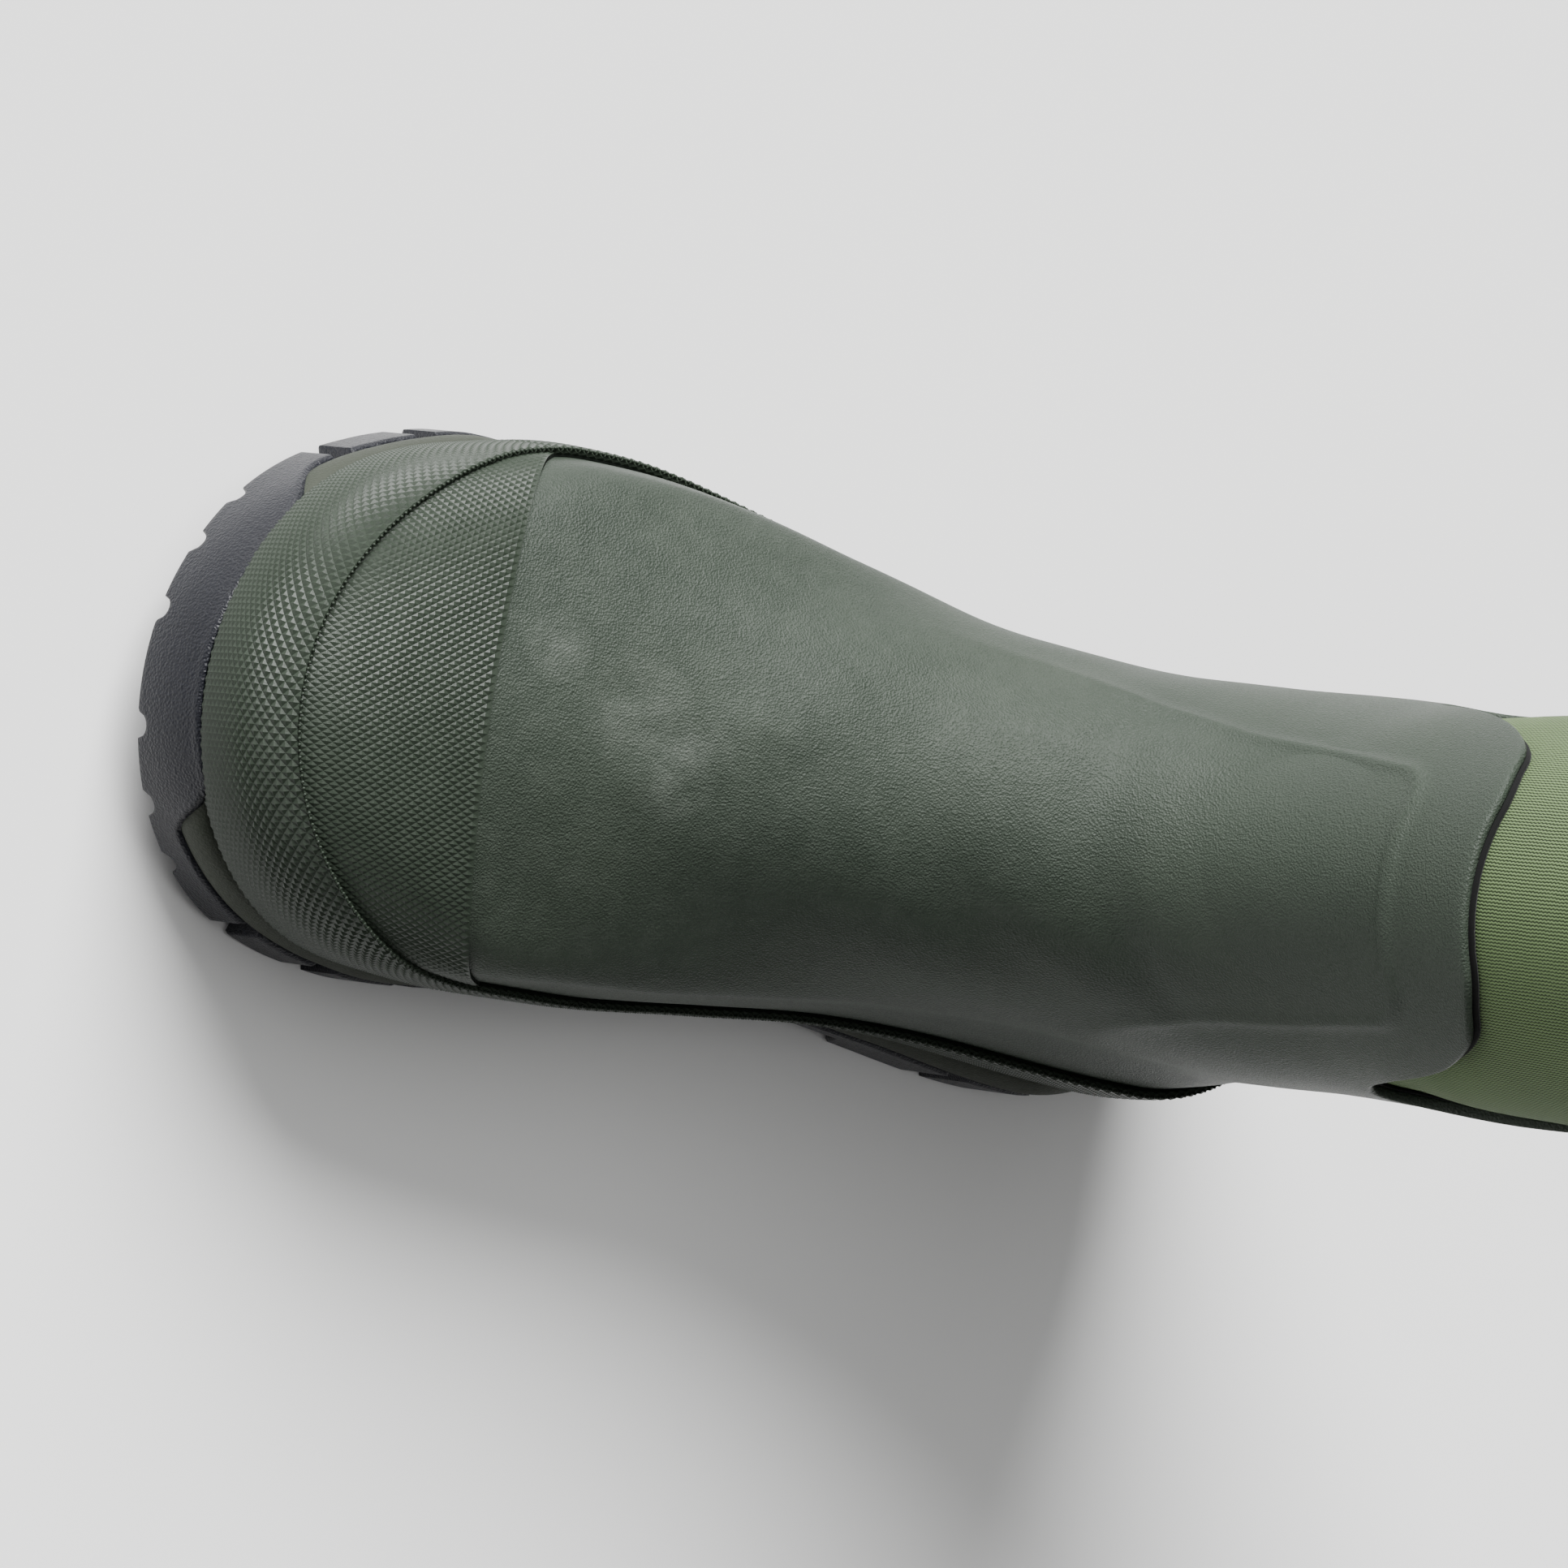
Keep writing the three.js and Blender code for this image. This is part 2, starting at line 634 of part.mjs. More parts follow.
const boot = new THREE.Group();
const { toeFoxing, sideFoxing } = makeFoxing();
boot.add(
  meshOf("outsole", makeOutsole(), soleBlack),
  meshOf("midsole", makeMidsole(), bandGreen),
  meshOf("insole", makeInsole(), footbedGrey),
  meshOf("upper", makeUpper(), rubberGreen),
  meshOf("toe_cap", makeToeCap(), rubberGreen),
  meshOf("toe_foxing", toeFoxing, rubberGreen),
  meshOf("side_foxing", sideFoxing, rubberGreen),
  meshOf("shaft", makeShaft(), neopreneGreen),
);

export default boot;
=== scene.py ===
import math

import bpy
import numpy as np
from mathutils import Matrix, Vector


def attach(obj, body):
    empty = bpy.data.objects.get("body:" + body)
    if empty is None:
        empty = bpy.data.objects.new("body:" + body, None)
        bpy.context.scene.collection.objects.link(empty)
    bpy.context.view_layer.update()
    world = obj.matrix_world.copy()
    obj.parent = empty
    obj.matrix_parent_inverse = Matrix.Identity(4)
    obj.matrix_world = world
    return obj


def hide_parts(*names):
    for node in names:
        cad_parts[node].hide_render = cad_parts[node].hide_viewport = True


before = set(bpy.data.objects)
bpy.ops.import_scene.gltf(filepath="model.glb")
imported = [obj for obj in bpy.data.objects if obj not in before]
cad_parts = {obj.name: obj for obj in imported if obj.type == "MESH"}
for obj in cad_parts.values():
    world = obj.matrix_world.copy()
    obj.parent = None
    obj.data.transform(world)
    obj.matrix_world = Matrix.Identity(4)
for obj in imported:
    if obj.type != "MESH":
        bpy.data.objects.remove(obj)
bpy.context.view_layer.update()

# Sizes in millimetres, as in the solids
MM = 0.001
LAST_LENGTH = 294.0
HEEL_CENTRE = 0.134 * LAST_LENGTH
BALL_WIDTH = 111.0
ANKLE_HEIGHT = 160.0
ANKLE_WIDTH = 85.0
ANKLE_LEAN = 2.5
COLLAR_HEIGHT = 390.0
COLLAR_WIDTH = 109.5
COLLAR_LEAN = 4.0
HEEL_SEAT = 26.0
RUBBER_WALL = 2.4
NEOPRENE_WALL = 5.0
GAP = 0.3
SLEEVE_GAP = 0.8
SLEEVE_LEVEL = 7.0
CAP_THICKNESS = 0.9
FOXING_THICKNESS = 1.9
RUBBER_FRONT = 218.0
SIDE_NOTCH = 158.0
RUBBER_BACK = 226.0
FOXING_HEIGHT = 50.0
CAP_REAR_AT = 0.852
CAP_REAR_HEIGHT = 67.0
CAP_REAR_SLOPE = 23.0 / 19.0
CAP_REAR_TURN = 0.06
CAP_SIDE_REACH = 82.0
SEAM_OUTER_AT = 0.795
SEAM_INNER_AT = 0.767
SEAM_TURN = 0.0006
SOLE_TOE = 6.5
SOLE_HEEL = 6.5
SOLE_TOE_ROUND = 58.0
SOLE_HEEL_ROUND = 47.0
MIDSOLE_THICKNESS = 9.0
MIDSOLE_INSET = 3.3
MIDSOLE_ROUND = 1.6
MIDSOLE_ROLL = 3.0
LUG_GAP = 4.6
LUG_REACH = 15.0
RING_GROOVE = 4.2
GROOVE_SOFT = 0.45
FIRST_GAP = 41.0
TREAD_PITCH = 23.0
SIDE_GAP_COUNT = 5
HEEL_BREAST_AT = 0.275
HEEL_PITCH = 25.0
HEEL_GAP_COUNT = 3
MIDDLE_BAR_HALF = 0.3 * BALL_WIDTH
MIDDLE_BAR_POINT = 7.0
HEEL_BAR_HALF = 0.24 * BALL_WIDTH
HEEL_BARS = (-12.6, 12.6)
TOE_GROOVE_RADIUS = 2.8
TOE_GROOVE_ANGLES = (12.5, 30.0, 46.0)
BUMPER_TOP = 30.0
BUMPER_LEAN = 2.0
BUMPER_SLOPE = 15.0
BUMPER_OUTER_END = 20.0
BUMPER_INNER_END = 9.0
FOXING_LOZENGE = 2.8
CAP_LOZENGE = (2.5, 1.75)
FOXING_RELIEF = 0.22
CAP_RELIEF = 0.13
BEAD_RADIUS = 0.42
BEAD_SINK = 0.25
BEAD_LIFT = 0.6
RIB = 0.86
PANEL_TOP = 196.0
PANEL_CORNER = 8.0
PANEL_MIDDLE = 0.4
PANEL_STEP = 0.6
PANEL_RIDGE = 0.75
PANEL_RIDGE_WIDTH = 1.4


class Table:
    """Rows of named columns, read as smooth curves."""

    def __init__(self, columns, rows):
        self.data = dict(zip(columns, np.array(rows, float).T))

    def at(self, key, column, position):
        x, y = self.data[key], self.data[column]
        p = np.clip(position, x[0], x[-1])
        h = np.diff(x)
        rate = np.diff(y) / h
        slope = np.empty(len(x))
        slope[0], slope[-1] = rate[0], rate[-1]
        inner = (rate[:-1] * h[1:] + rate[1:] * h[:-1]) / (h[:-1] + h[1:])
        slope[1:-1] = np.where(rate[:-1] * rate[1:] <= 0, 0, inner)
        i = np.clip(np.searchsorted(x, p, side="right") - 1, 0, len(h) - 1)
        t = (p - x[i]) / h[i]
        bend = (t - 1) ** 2 * t * h[i] * slope[i] + t * t * (t - 1) * h[i] * slope[i + 1]
        return y[i] + (y[i + 1] - y[i]) * t * t * (3 - 2 * t) + bend


# Columns: rise, front, back, toe, heel, spread, leg, sag
FOOT = (
    (0.0, 1.0, 0.0, 0.172, 0.141, 1.0, 0, 1),
    (0.05, 1.009, -0.006, 0.173, 0.141, 1.018, 0, 0.87),
    (0.12, 1.014, -0.01, 0.176, 0.142, 1.03, 0, 0.68),
    (0.2, 0.999, -0.014, 0.185, 0.144, 1.015, 0, 0.44),
    (0.27, 0.953, -0.013, 0.235, 0.15, 0.99, 0.02, 0.25),
    (0.33, 0.866, -0.01, 0.33, 0.165, 0.96, 0.08, 0.12),
    (0.41, 0.756, -0.002, 0.46, 0.2, 0.93, 0.25, 0.04),
    (0.51, 0.653, 0.009, 0.565, 0.26, 0.92, 0.5, 0),
    (0.61, 0.554, 0.019, 0.63, 0.33, 0.93, 0.75, 0),
    (0.725, 0.474, 0.027, 0.61, 0.39, 0.96, 0.92, 0),
    (0.85, 0.421, 0.031, 0.55, 0.45, 1, 1, 0),
    (1.0, 0.395, 0.029, 0.51, 0.49, 1, 1, 0),
)
# Columns: climb, front, back, flare
LEG = (
    (0.11, 0.387, 0.0223, 0.17),
    (0.25, 0.386, 0.0103, 0.3),
    (0.5, 0.391, -0.0137, 0.55),
    (0.75, 0.3995, -0.034, 0.79),
    (1.0, 0.41, -0.048, 1),
)
SECTION_ROWS = [
    (i, HEEL_SEAT + (ANKLE_HEIGHT - HEEL_SEAT) * rise, front, back, toe, heel, spread, leg, sag,
     ANKLE_WIDTH / 2, -ANKLE_LEAN)
    for i, (rise, front, back, toe, heel, spread, leg, sag) in enumerate(FOOT)
] + [
    (len(FOOT) + i, ANKLE_HEIGHT + (COLLAR_HEIGHT - ANKLE_HEIGHT) * climb, front, back, 0.5, 0.5, 1, 1,
     0, (ANKLE_WIDTH + (COLLAR_WIDTH - ANKLE_WIDTH) * flare) / 2,
     -(ANKLE_LEAN + (COLLAR_LEAN - ANKLE_LEAN) * flare))
    for i, (climb, front, back, flare) in enumerate(LEG)
]
SECTIONS = Table(
    ("level", "height", "front", "back", "toe", "heel", "spread", "leg", "sag", "leg_half",
     "leg_swing"),
    SECTION_ROWS)
ANKLE_LEVEL = len(FOOT) - 1
COLLAR_LEVEL = len(SECTION_ROWS) - 1

PLAN = Table(("at", "half", "swing", "sole_half", "sole_swing"), (
    (0.0, 0.378, 0.0, 0.432, 0.0),
    (0.14, 0.382, 0.0, 0.437, 0.0),
    (0.3, 0.378, -0.012, 0.415, -0.012),
    (0.42, 0.398, -0.028, 0.408, -0.03),
    (0.55, 0.448, -0.04, 0.466, -0.04),
    (0.68, 0.489, -0.042, 0.52, -0.042),
    (0.76, 0.494, -0.035, 0.536, -0.035),
    (0.86, 0.464, -0.012, 0.492, -0.012),
    (1.0, 0.434, 0.012, 0.458, 0.012),
))
SIDE = Table(("at", "tread", "root", "seat"), (
    (-0.03, 0.13, 0.23, 1.0),
    (0.01, 0.0, 0.23, 1.0),
    (0.15, 0.0, 0.23, 1.0),
    (0.278, 0.0, 0.24, 1.0),
    (0.3, 0.36, 0.35, 0.99),
    (0.42, 0.36, 0.35, 0.96),
    (0.52, 0.2, 0.28, 0.89),
    (0.575, 0.0, 0.24, 0.85),
    (0.7, 0.0, 0.23, 0.81),
    (0.82, 0.0, 0.23, 0.81),
    (0.88, 0.08, 0.31, 0.87),
    (0.95, 0.25, 0.46, 0.98),
    (1.03, 0.5, 0.68, 1.12),
))
FOXING = Table(("at", "top"), (
    (-0.05, 1.16), (0.06, 1.14), (0.2, 1.02), (0.4, 0.88), (0.6, 0.86), (0.77, 0.95), (0.9, 1.06),
    (1.05, 1.12),
))
TOPLINE = Table(("turn", "rest"), (
    (0.0, 1.0), (0.12, 1.0), (0.19, 0.96), (0.25, 0.88), (0.3, 0.7), (0.37, 0.3), (0.43, 0.06), (0.47, 0.0),
    (0.52, 0.1), (0.58, 0.45), (0.65, 0.8), (0.75, 0.97), (1.0, 1.0),
))


def mix(a, b, share):
    return a + (b - a) * share


def smooth(low, high, value):
    t = np.clip((value - low) / (high - low), 0, 1)
    return t * t * (3 - 2 * t)


def run_along(points):
    """Distances along a line of points, from 0 at the first."""
    return np.concatenate([[0], np.cumsum(np.linalg.norm(np.diff(points, axis=0), axis=1))])


def level_where(low, high, is_below, halvings):
    """The level up to which is_below holds, found by halving the way from low to high."""
    for _ in range(halvings):
        middle = (low + high) / 2
        below = is_below(middle)
        low, high = np.where(below, middle, low), np.where(below, high, middle)
    return (low + high) / 2


def along_last(share):
    return LAST_LENGTH * share - HEEL_CENTRE


def share_of(x):
    return (x + HEEL_CENTRE) / LAST_LENGTH


def seat_height(x):
    return HEEL_SEAT * SIDE.at("at", "seat", share_of(x))


def tread_height(x):
    return HEEL_SEAT * np.maximum(0, SIDE.at("at", "tread", share_of(x)))


def root_height(x):
    return HEEL_SEAT * SIDE.at("at", "root", share_of(x))


def foxing_top(x):
    return FOXING_HEIGHT * FOXING.at("at", "top", share_of(x))


def round_end(distance):
    return np.sqrt(np.maximum(0, 1 - (1 - np.clip(distance, 0, 1)) ** 2))


def face(level, turn):
    """Points of the upper's outer face; turn goes from the toe by the outer side."""
    level, turn = np.broadcast_arrays(np.asarray(level, float), np.asarray(turn, float))

    def at(column):
        return SECTIONS.at("level", column, level)

    angle = 2 * np.pi * turn
    front, back = along_last(at("front")), along_last(at("back"))
    length = front - back
    x = mix(back, front, (1 + np.cos(angle)) / 2)
    leg = at("leg")
    foot = PLAN.at("at", "half", share_of(x)) * BALL_WIDTH * at("spread")
    ends = round_end((front - x) / (length * at("toe"))) * round_end((x - back) / (length * at("heel")))
    half = mix(foot, at("leg_half"), leg) * ends
    swing = mix(PLAN.at("at", "swing", share_of(x)) * BALL_WIDTH, at("leg_swing"), leg)
    side = np.where(np.sin(angle) > 0, -1.0, 1.0)
    z = at("height") + at("sag") * (seat_height(x) - HEEL_SEAT)
    return np.stack([x, swing + side * half, z], -1)


def outward(level, turn):
    """Unit normals of the upper's outer face."""
    level, turn = np.broadcast_arrays(np.asarray(level, float), np.asarray(turn, float))
    up = face(np.minimum(level + 0.05, COLLAR_LEVEL), turn) - face(np.maximum(level - 0.05, 0), turn)
    on = face(level, turn + 0.002) - face(level, turn - 0.002)
    out = np.cross(up, on)
    out[..., 2] *= np.clip(np.minimum(level, COLLAR_LEVEL - level), 0, 1)
    return out / np.linalg.norm(out, axis=-1, keepdims=True)


def up_the_wall(level, turn):
    """Unit directions up the upper's outer face."""
    rise = face(level + 0.02, turn) - face(level - 0.02, turn)
    return rise / np.linalg.norm(rise, axis=-1, keepdims=True)


def grown(level, turn, grow):
    """Points that stand out from the upper's outer face."""
    grow = np.asarray(grow, float)
    return face(level, turn) + outward(level, turn) * grow[..., None]


def topline_level(turn):
    """The level of the rubber's top edge, high in front and behind and notched at the sides."""
    turn = np.asarray(turn, float) % 1.0
    way = np.where(turn <= 0.5, 2 * turn, 2 - 2 * turn)
    full = np.where(way < 0.47, RUBBER_FRONT, RUBBER_BACK)
    height = mix(SIDE_NOTCH, full, TOPLINE.at("turn", "rest", way))
    low = np.full_like(height, ANKLE_LEVEL - 2)
    high = np.full_like(height, COLLAR_LEVEL)
    return level_where(low, high, lambda level: SECTIONS.at("level", "height", level) < height, 30)


def ahead_of_cap_edge(point):
    """How far ahead of the leaning plane of the cap's rear edge a point lies."""
    x, y, z = point[..., 0], point[..., 1], point[..., 2]
    return x + CAP_REAR_TURN * y - CAP_REAR_SLOPE * (z - CAP_REAR_HEIGHT) - along_last(CAP_REAR_AT)


# Meshes

def mesh_piece(name, points, faces, uv=None, around=0.0, slots=None, facets=False):
    """A mesh object from points in millimetres; around is the width at which its UVs wrap."""
    mesh = bpy.data.meshes.new(name)
    points = np.asarray(points, float).reshape(-1, 3) * MM
    faces = np.asarray(faces, np.int32)
    mesh.vertices.add(len(points))
    mesh.vertices.foreach_set("co", points.ravel())
    mesh.loops.add(faces.size)
    mesh.loops.foreach_set("vertex_index", faces.ravel())
    mesh.polygons.add(len(faces))
    mesh.polygons.foreach_set("loop_start", np.arange(0, faces.size, faces.shape[1], dtype=np.int32))
    if uv is not None:
        corners = np.asarray(uv, float).reshape(-1, 2)[faces]
        widest = corners[..., 0].max(axis=1, keepdims=True)
        corners[..., 0] += around * (corners[..., 0] < widest - around / 2)
        layer = mesh.uv_layers.new(name="surface")
        layer.data.foreach_set("uv", corners.ravel())
    mesh.polygons.foreach_set("use_smooth", np.full(len(faces), not facets))
    if slots is not None:
        mesh.polygons.foreach_set("material_index", np.asarray(slots, np.int32))
    mesh.update(calc_edges=True)
    mesh.validate()
    piece = bpy.data.objects.new(name, mesh)
    bpy.context.scene.collection.objects.link(piece)
    return piece


def grid_faces(rows, columns, around=True, tube=False):
    """Four-cornered faces of a grid, closed around and, with tube, from last row to first."""
    r = np.arange(rows if tube else rows - 1)
    c = np.arange(columns if around else columns - 1)
    r, c = np.meshgrid(r, c, indexing="ij")
    r2, c2 = (r + 1) % rows, (c + 1) % columns
    quads = np.stack([r * columns + c, r2 * columns + c, r2 * columns + c2, r * columns + c2], -1)
    return quads.reshape(-1, 4)


def lozenge_faces(rows, columns):
    """Triangles of a grid, split so that each peak is the tip of a four-sided lozenge."""
    quads = grid_faces(rows, columns, around=False)
    a, b, c, d = quads.T
    peak = ((a // columns + a % columns) % 2 == 1)[:, None]
    return np.concatenate([
        np.where(peak, np.column_stack([a, b, d]), np.column_stack([a, b, c])),
        np.where(peak, np.column_stack([c, d, b]), np.column_stack([a, c, d]))])


def even_turns(level, count):
    """Turns that stand at equal distances around a section, and the way around it."""
    turns = np.linspace(0, 1, 4001)
    run = run_along(face(level, turns))
    return np.interp(np.linspace(0, run[-1], count, endpoint=False), run, turns), run[-1]


def even_levels(start, end, count):
    """Levels with near equal steps of surface between them."""
    fine = np.linspace(start, end, 800)
    step = np.zeros(799)
    for turn in (0.0, 0.1, 0.25, 0.5):
        step = np.maximum(step, np.linalg.norm(np.diff(face(fine, turn), axis=0), axis=1))
    run = np.concatenate([[0], np.cumsum(step)])
    return np.interp(np.linspace(0, run[-1], count), run, fine)


# The upper

# Columns: x, y, length, width, height
DENTS = (
    (176, -4, 9, 6, -0.55), (186, -12, 7, 5, -0.4), (166, 6, 8, 7, -0.45), (158, -10, 10, 5, 0.4),
    (181, 6, 6, 5, 0.35), (150, -2, 9, 8, -0.3),
)
# Columns: height above the floor, tilt, width, depth of the fold
ANKLE_FOLDS = ((128, 0.16, 5.5, -0.9), (117, -0.1, 6.5, 0.6), (106, 0.22, 6, -0.7))
HEEL_FOLDS = ((104, 0.12, 5, -0.6), (92, -0.08, 6, 0.45))
# Columns: height above the floor, half width
PANEL_SIDES = ((70, 52), (90, 41), (105, 36.5), (121, 33), (143, 29.6), (183, 27), (200, 26))
# Columns: depth into the wall, lift above its edge
RUBBER_RIM = ((-0.25, 0.45), (-0.8, 0.75), (-1.6, 0.75), (-2.15, 0.45))
COLLAR_RIM = ((-0.2, 0.8), (-1.0, 1.5), (-2.5, 1.8), (-4.0, 1.5), (-4.8, 0.8))
COLLAR_RIM_TOP = 1.8


def shin_panel(point):
    """Signed distance into the raised shin panel, positive inside."""
    y, z = point[..., 1], point[..., 2]
    side = np.interp(z, *zip(*PANEL_SIDES)) - np.abs(y - PANEL_MIDDLE)
    top = PANEL_TOP - z
    corner = PANEL_CORNER
    rounded = corner - np.hypot(np.maximum(corner - side, 0), np.maximum(corner - top, 0))
    return np.where((side < corner) & (top < corner), rounded, np.minimum(side, top))


def soft_folds(point, rows):
    """Troughs and ridges that run across the boot, tilted a little."""
    y, z = point[..., 1], point[..., 2]
    return sum(size * np.exp(-((z - place - tilt * y) / wide) ** 2) for place, tilt, wide, size in rows)


def upper_relief(point):
    """How far the moulded rubber stands out from its plain face: panel, dents and folds."""
    x, y, z = point[..., 0], point[..., 1], point[..., 2]
    ahead = smooth(20, 45, x)
    depth = shin_panel(point)
    low_fade = smooth(84, 108, z)
    ridge = np.exp(-(depth / PANEL_RIDGE_WIDTH) ** 2)
    relief = ahead * low_fade * (PANEL_STEP * smooth(-0.8, 0.8, depth) + PANEL_RIDGE * ridge)
    free = smooth(0.5, 7, z - foxing_top(x)) * smooth(0, 8, -ahead_of_cap_edge(point))
    for at_x, at_y, long, wide, size in DENTS:
        dent = np.exp(-((x - at_x) / long) ** 2 - ((y - at_y) / wide) ** 2)
        relief = relief + free * size * dent * smooth(60, 70, z)
    relief = relief + soft_folds(point, ANKLE_FOLDS) * smooth(40, 70, x) * smooth(46, 20, abs(y))
    relief = relief + soft_folds(point, HEEL_FOLDS) * smooth(0, -22, x)
    slow = (np.sin(x * 0.071 + y * 0.093 + 0.4) * np.sin(z * 0.083 + y * 0.041 + 1.3)
            + 0.6 * np.sin(x * 0.13 - z * 0.11 + 2.1) * np.sin(y * 0.12 + 0.7))
    return relief + free * 0.22 * slow


def build_upper():
    columns = 360
    turns, _ = even_turns(6, columns)
    edge = topline_level(turns)
    base = ANKLE_LEVEL - 1
    foot = even_levels(0, base, 176)
    climb = np.linspace(0, 1, 58)[1:]
    levels = np.vstack([np.repeat(foot[:, None], columns, 1), base + climb[:, None] * (edge - base)])
    points = face(levels, turns)
    normals = outward(levels, turns)
    relief = upper_relief(points)
    # The rim is rounded over to the wall's inner face
    rise = up_the_wall(edge, turns)
    rim = [points[-1] + normals[-1] * (relief[-1][:, None] + depth) + rise * lift
           for depth, lift in RUBBER_RIM]
    outer = points + normals * relief[..., None]
    outer[0, :, 2] += GAP
    inner_levels = np.vstack([edge, np.repeat(even_levels(0, base, 14)[::-1][:, None], columns, 1)])
    inner = grown(inner_levels, turns, np.full_like(inner_levels, -RUBBER_WALL))
    inner[-1, :, 2] += GAP
    rows = np.concatenate([outer, np.array(rim), inner])
    piece = mesh_piece("upper_rubber", rows, grid_faces(len(rows), columns, tube=True))
    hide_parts("upper")
    return piece


def build_edge_gap_shade():
    """A near-black strip standing in the gap just above the rubber's top edge: painted shade that shows as
    a dark line.
    """
    turns, _ = even_turns(12, 480)
    edge = topline_level(turns)
    base = face(edge, turns)
    normals = outward(edge, turns)
    rise = up_the_wall(edge, turns)
    fuzz = np.random.default_rng(11).normal(0, 0.035, len(turns))
    rows = []
    for lift, grow in ((-3, -2.5), (1.2, -2.3), (1.6, -2.5), (1.6, -2.95), (-3, -3.0)):
        lifts = lift + (fuzz if lift > 0 else 0)
        rows.append(base + normals * grow + rise * np.broadcast_to(lifts, len(turns))[:, None])
    return mesh_piece("edge_gap_shade", np.array(rows), grid_faces(len(rows), len(turns), tube=True))


def knit_slack(turns, z):
    """Slow waves of the soft shaft."""
    angle = 2 * np.pi * turns
    return (0.72 * np.sin(2 * angle + z * 0.021) * np.sin(z * 0.033 + 0.6)
            + 0.4 * np.sin(3 * angle - z * 0.047 + 1.1) + 0.28 * np.sin(z * 0.09 + 2 * np.sin(angle)))


def build_shaft():
    columns = 260
    turns, run = even_turns(14, columns)
    levels = np.concatenate([
        even_levels(SLEEVE_LEVEL, ANKLE_LEVEL, 30)[:-1], even_levels(ANKLE_LEVEL, COLLAR_LEVEL, 110)])
    grid = np.repeat(levels[:, None], columns, 1)
    outside = -(RUBBER_WALL + SLEEVE_GAP)
    points = grown(grid, turns, np.full_like(grid, outside))
    normals = outward(grid, turns)
    z = points[..., 2]
    free = smooth(0, 1.2, grid - topline_level(turns)) * smooth(COLLAR_HEIGHT, COLLAR_HEIGHT - 30, z)
    points = points + normals * (free * knit_slack(turns, z))[..., None]
    points[-1, :, 2] -= COLLAR_RIM_TOP
    rim = np.array([points[-1] + normals[-1] * depth + (0, 0, lift) for depth, lift in COLLAR_RIM])
    inner_levels = np.concatenate([even_levels(ANKLE_LEVEL, COLLAR_LEVEL, 60)[::-1],
                                   even_levels(SLEEVE_LEVEL, ANKLE_LEVEL, 12)[::-1][1:]])
    inner_grid = np.repeat(inner_levels[:, None], columns, 1)
    inner = grown(inner_grid, turns, np.full_like(inner_grid, outside - NEOPRENE_WALL))
    inner[0, :, 2] -= COLLAR_RIM_TOP
    rows = np.concatenate([points, rim, inner])
    width = round(run / RIB) * RIB
    u = np.broadcast_to(np.arange(columns) / columns * width, rows.shape[:2])
    v = rows[..., 2]
    faces = grid_faces(len(rows), columns, tube=True)
    # The lining starts behind the middle of the rim
    slots = faces[:, 0] // columns >= len(points) + 3
    piece = mesh_piece("shaft_knit", rows, faces, np.stack([u, v], -1) * MM, width * MM, slots)
    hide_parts("shaft")
    return piece


# The textured overlays

def diamonds(rows, columns, height):
    """Peaks in staggered rows over a grid whose steps are half the pitch."""
    r, c = np.meshgrid(np.arange(rows), np.arange(columns), indexing="ij")
    return np.where((r + c) % 2 == 0, height, -height)


def level_at(turns, share):
    """The level where a column reaches a share of the foxing's own height."""
    def is_below(level):
        point = face(level, turns)
        bottom = seat_height(point[..., 0]) + GAP
        return (point[..., 2] - bottom) / (foxing_top(point[..., 0]) - bottom) < share

    low = np.zeros(np.broadcast_shapes(turns.shape, share.shape))
    return level_where(low, np.full_like(low, 5.0), is_below, 26)


def band_turns(start, end, pitch, spare):
    """Turns at equal distances along the foxing between two ends: one to a pitch, and spare ones."""
    fine = np.linspace(start, end, 2001)
    run = run_along(grown(1.5, fine, np.full_like(fine, GAP + FOXING_THICKNESS)))
    return np.interp(np.linspace(0, run[-1], round(run[-1] / pitch) + spare), run, fine)


def build_foxing(name, node, start, end):
    """One band of foxing between two turns, lozenged right up to its cut top edge."""
    rows = 33
    turns = band_turns(start, end, FOXING_LOZENGE / 2, 1)
    count = len(turns)
    levels = level_at(turns[None, :], np.linspace(0, 1, rows)[:, None])
    surface = GAP + FOXING_THICKNESS
    back = GAP + 0.15
    relief = diamonds(rows, count, FOXING_RELIEF)
    relief[:, [0, -1]] = -FOXING_RELIEF
    points = grown(levels, turns, surface + 0.15 + relief)
    # The top edge rolls over in the lozenges' rhythm, down to a strip against the upper that is painted
    # near-black as the shade in the gap
    wave = 0.2 * np.where(np.arange(count) % 2 == 0, 1, -1)
    edge = [grown(levels[-1], turns, grow) for grow in (
        surface - 0.15 - wave, GAP + 1.0 + wave, np.full(count, GAP + 0.35), np.full(count, 0.1))]
    edge[0][:, 2] += 0.3 + wave
    edge[1][:, 2] += 0.4 - wave
    foot = [grown(levels[0], turns, np.full(count, grow)) for grow in (back, surface - 0.2)]
    grid = np.concatenate([np.array(foot), points, np.array(edge)])
    ends = [grown(levels[:, i], turns[i], np.full(rows, back)) for i in (0, -1)]
    pads = [np.concatenate([e[:1]] * len(foot) + [e] + [e[-1:]] * len(edge)) for e in ends]
    grid = np.concatenate([pads[0][:, None], grid, pads[1][:, None]], axis=1)
    faces = lozenge_faces(*grid.shape[:2])
    # The faces of that last strip take the second slot, painted near-black as shade
    shaded_gap_faces = (faces // grid.shape[1]).min(axis=1) >= len(foot) + rows + 2
    piece = mesh_piece(name, grid, faces, slots=shaded_gap_faces, facets=True)
    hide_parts(node)
    return piece


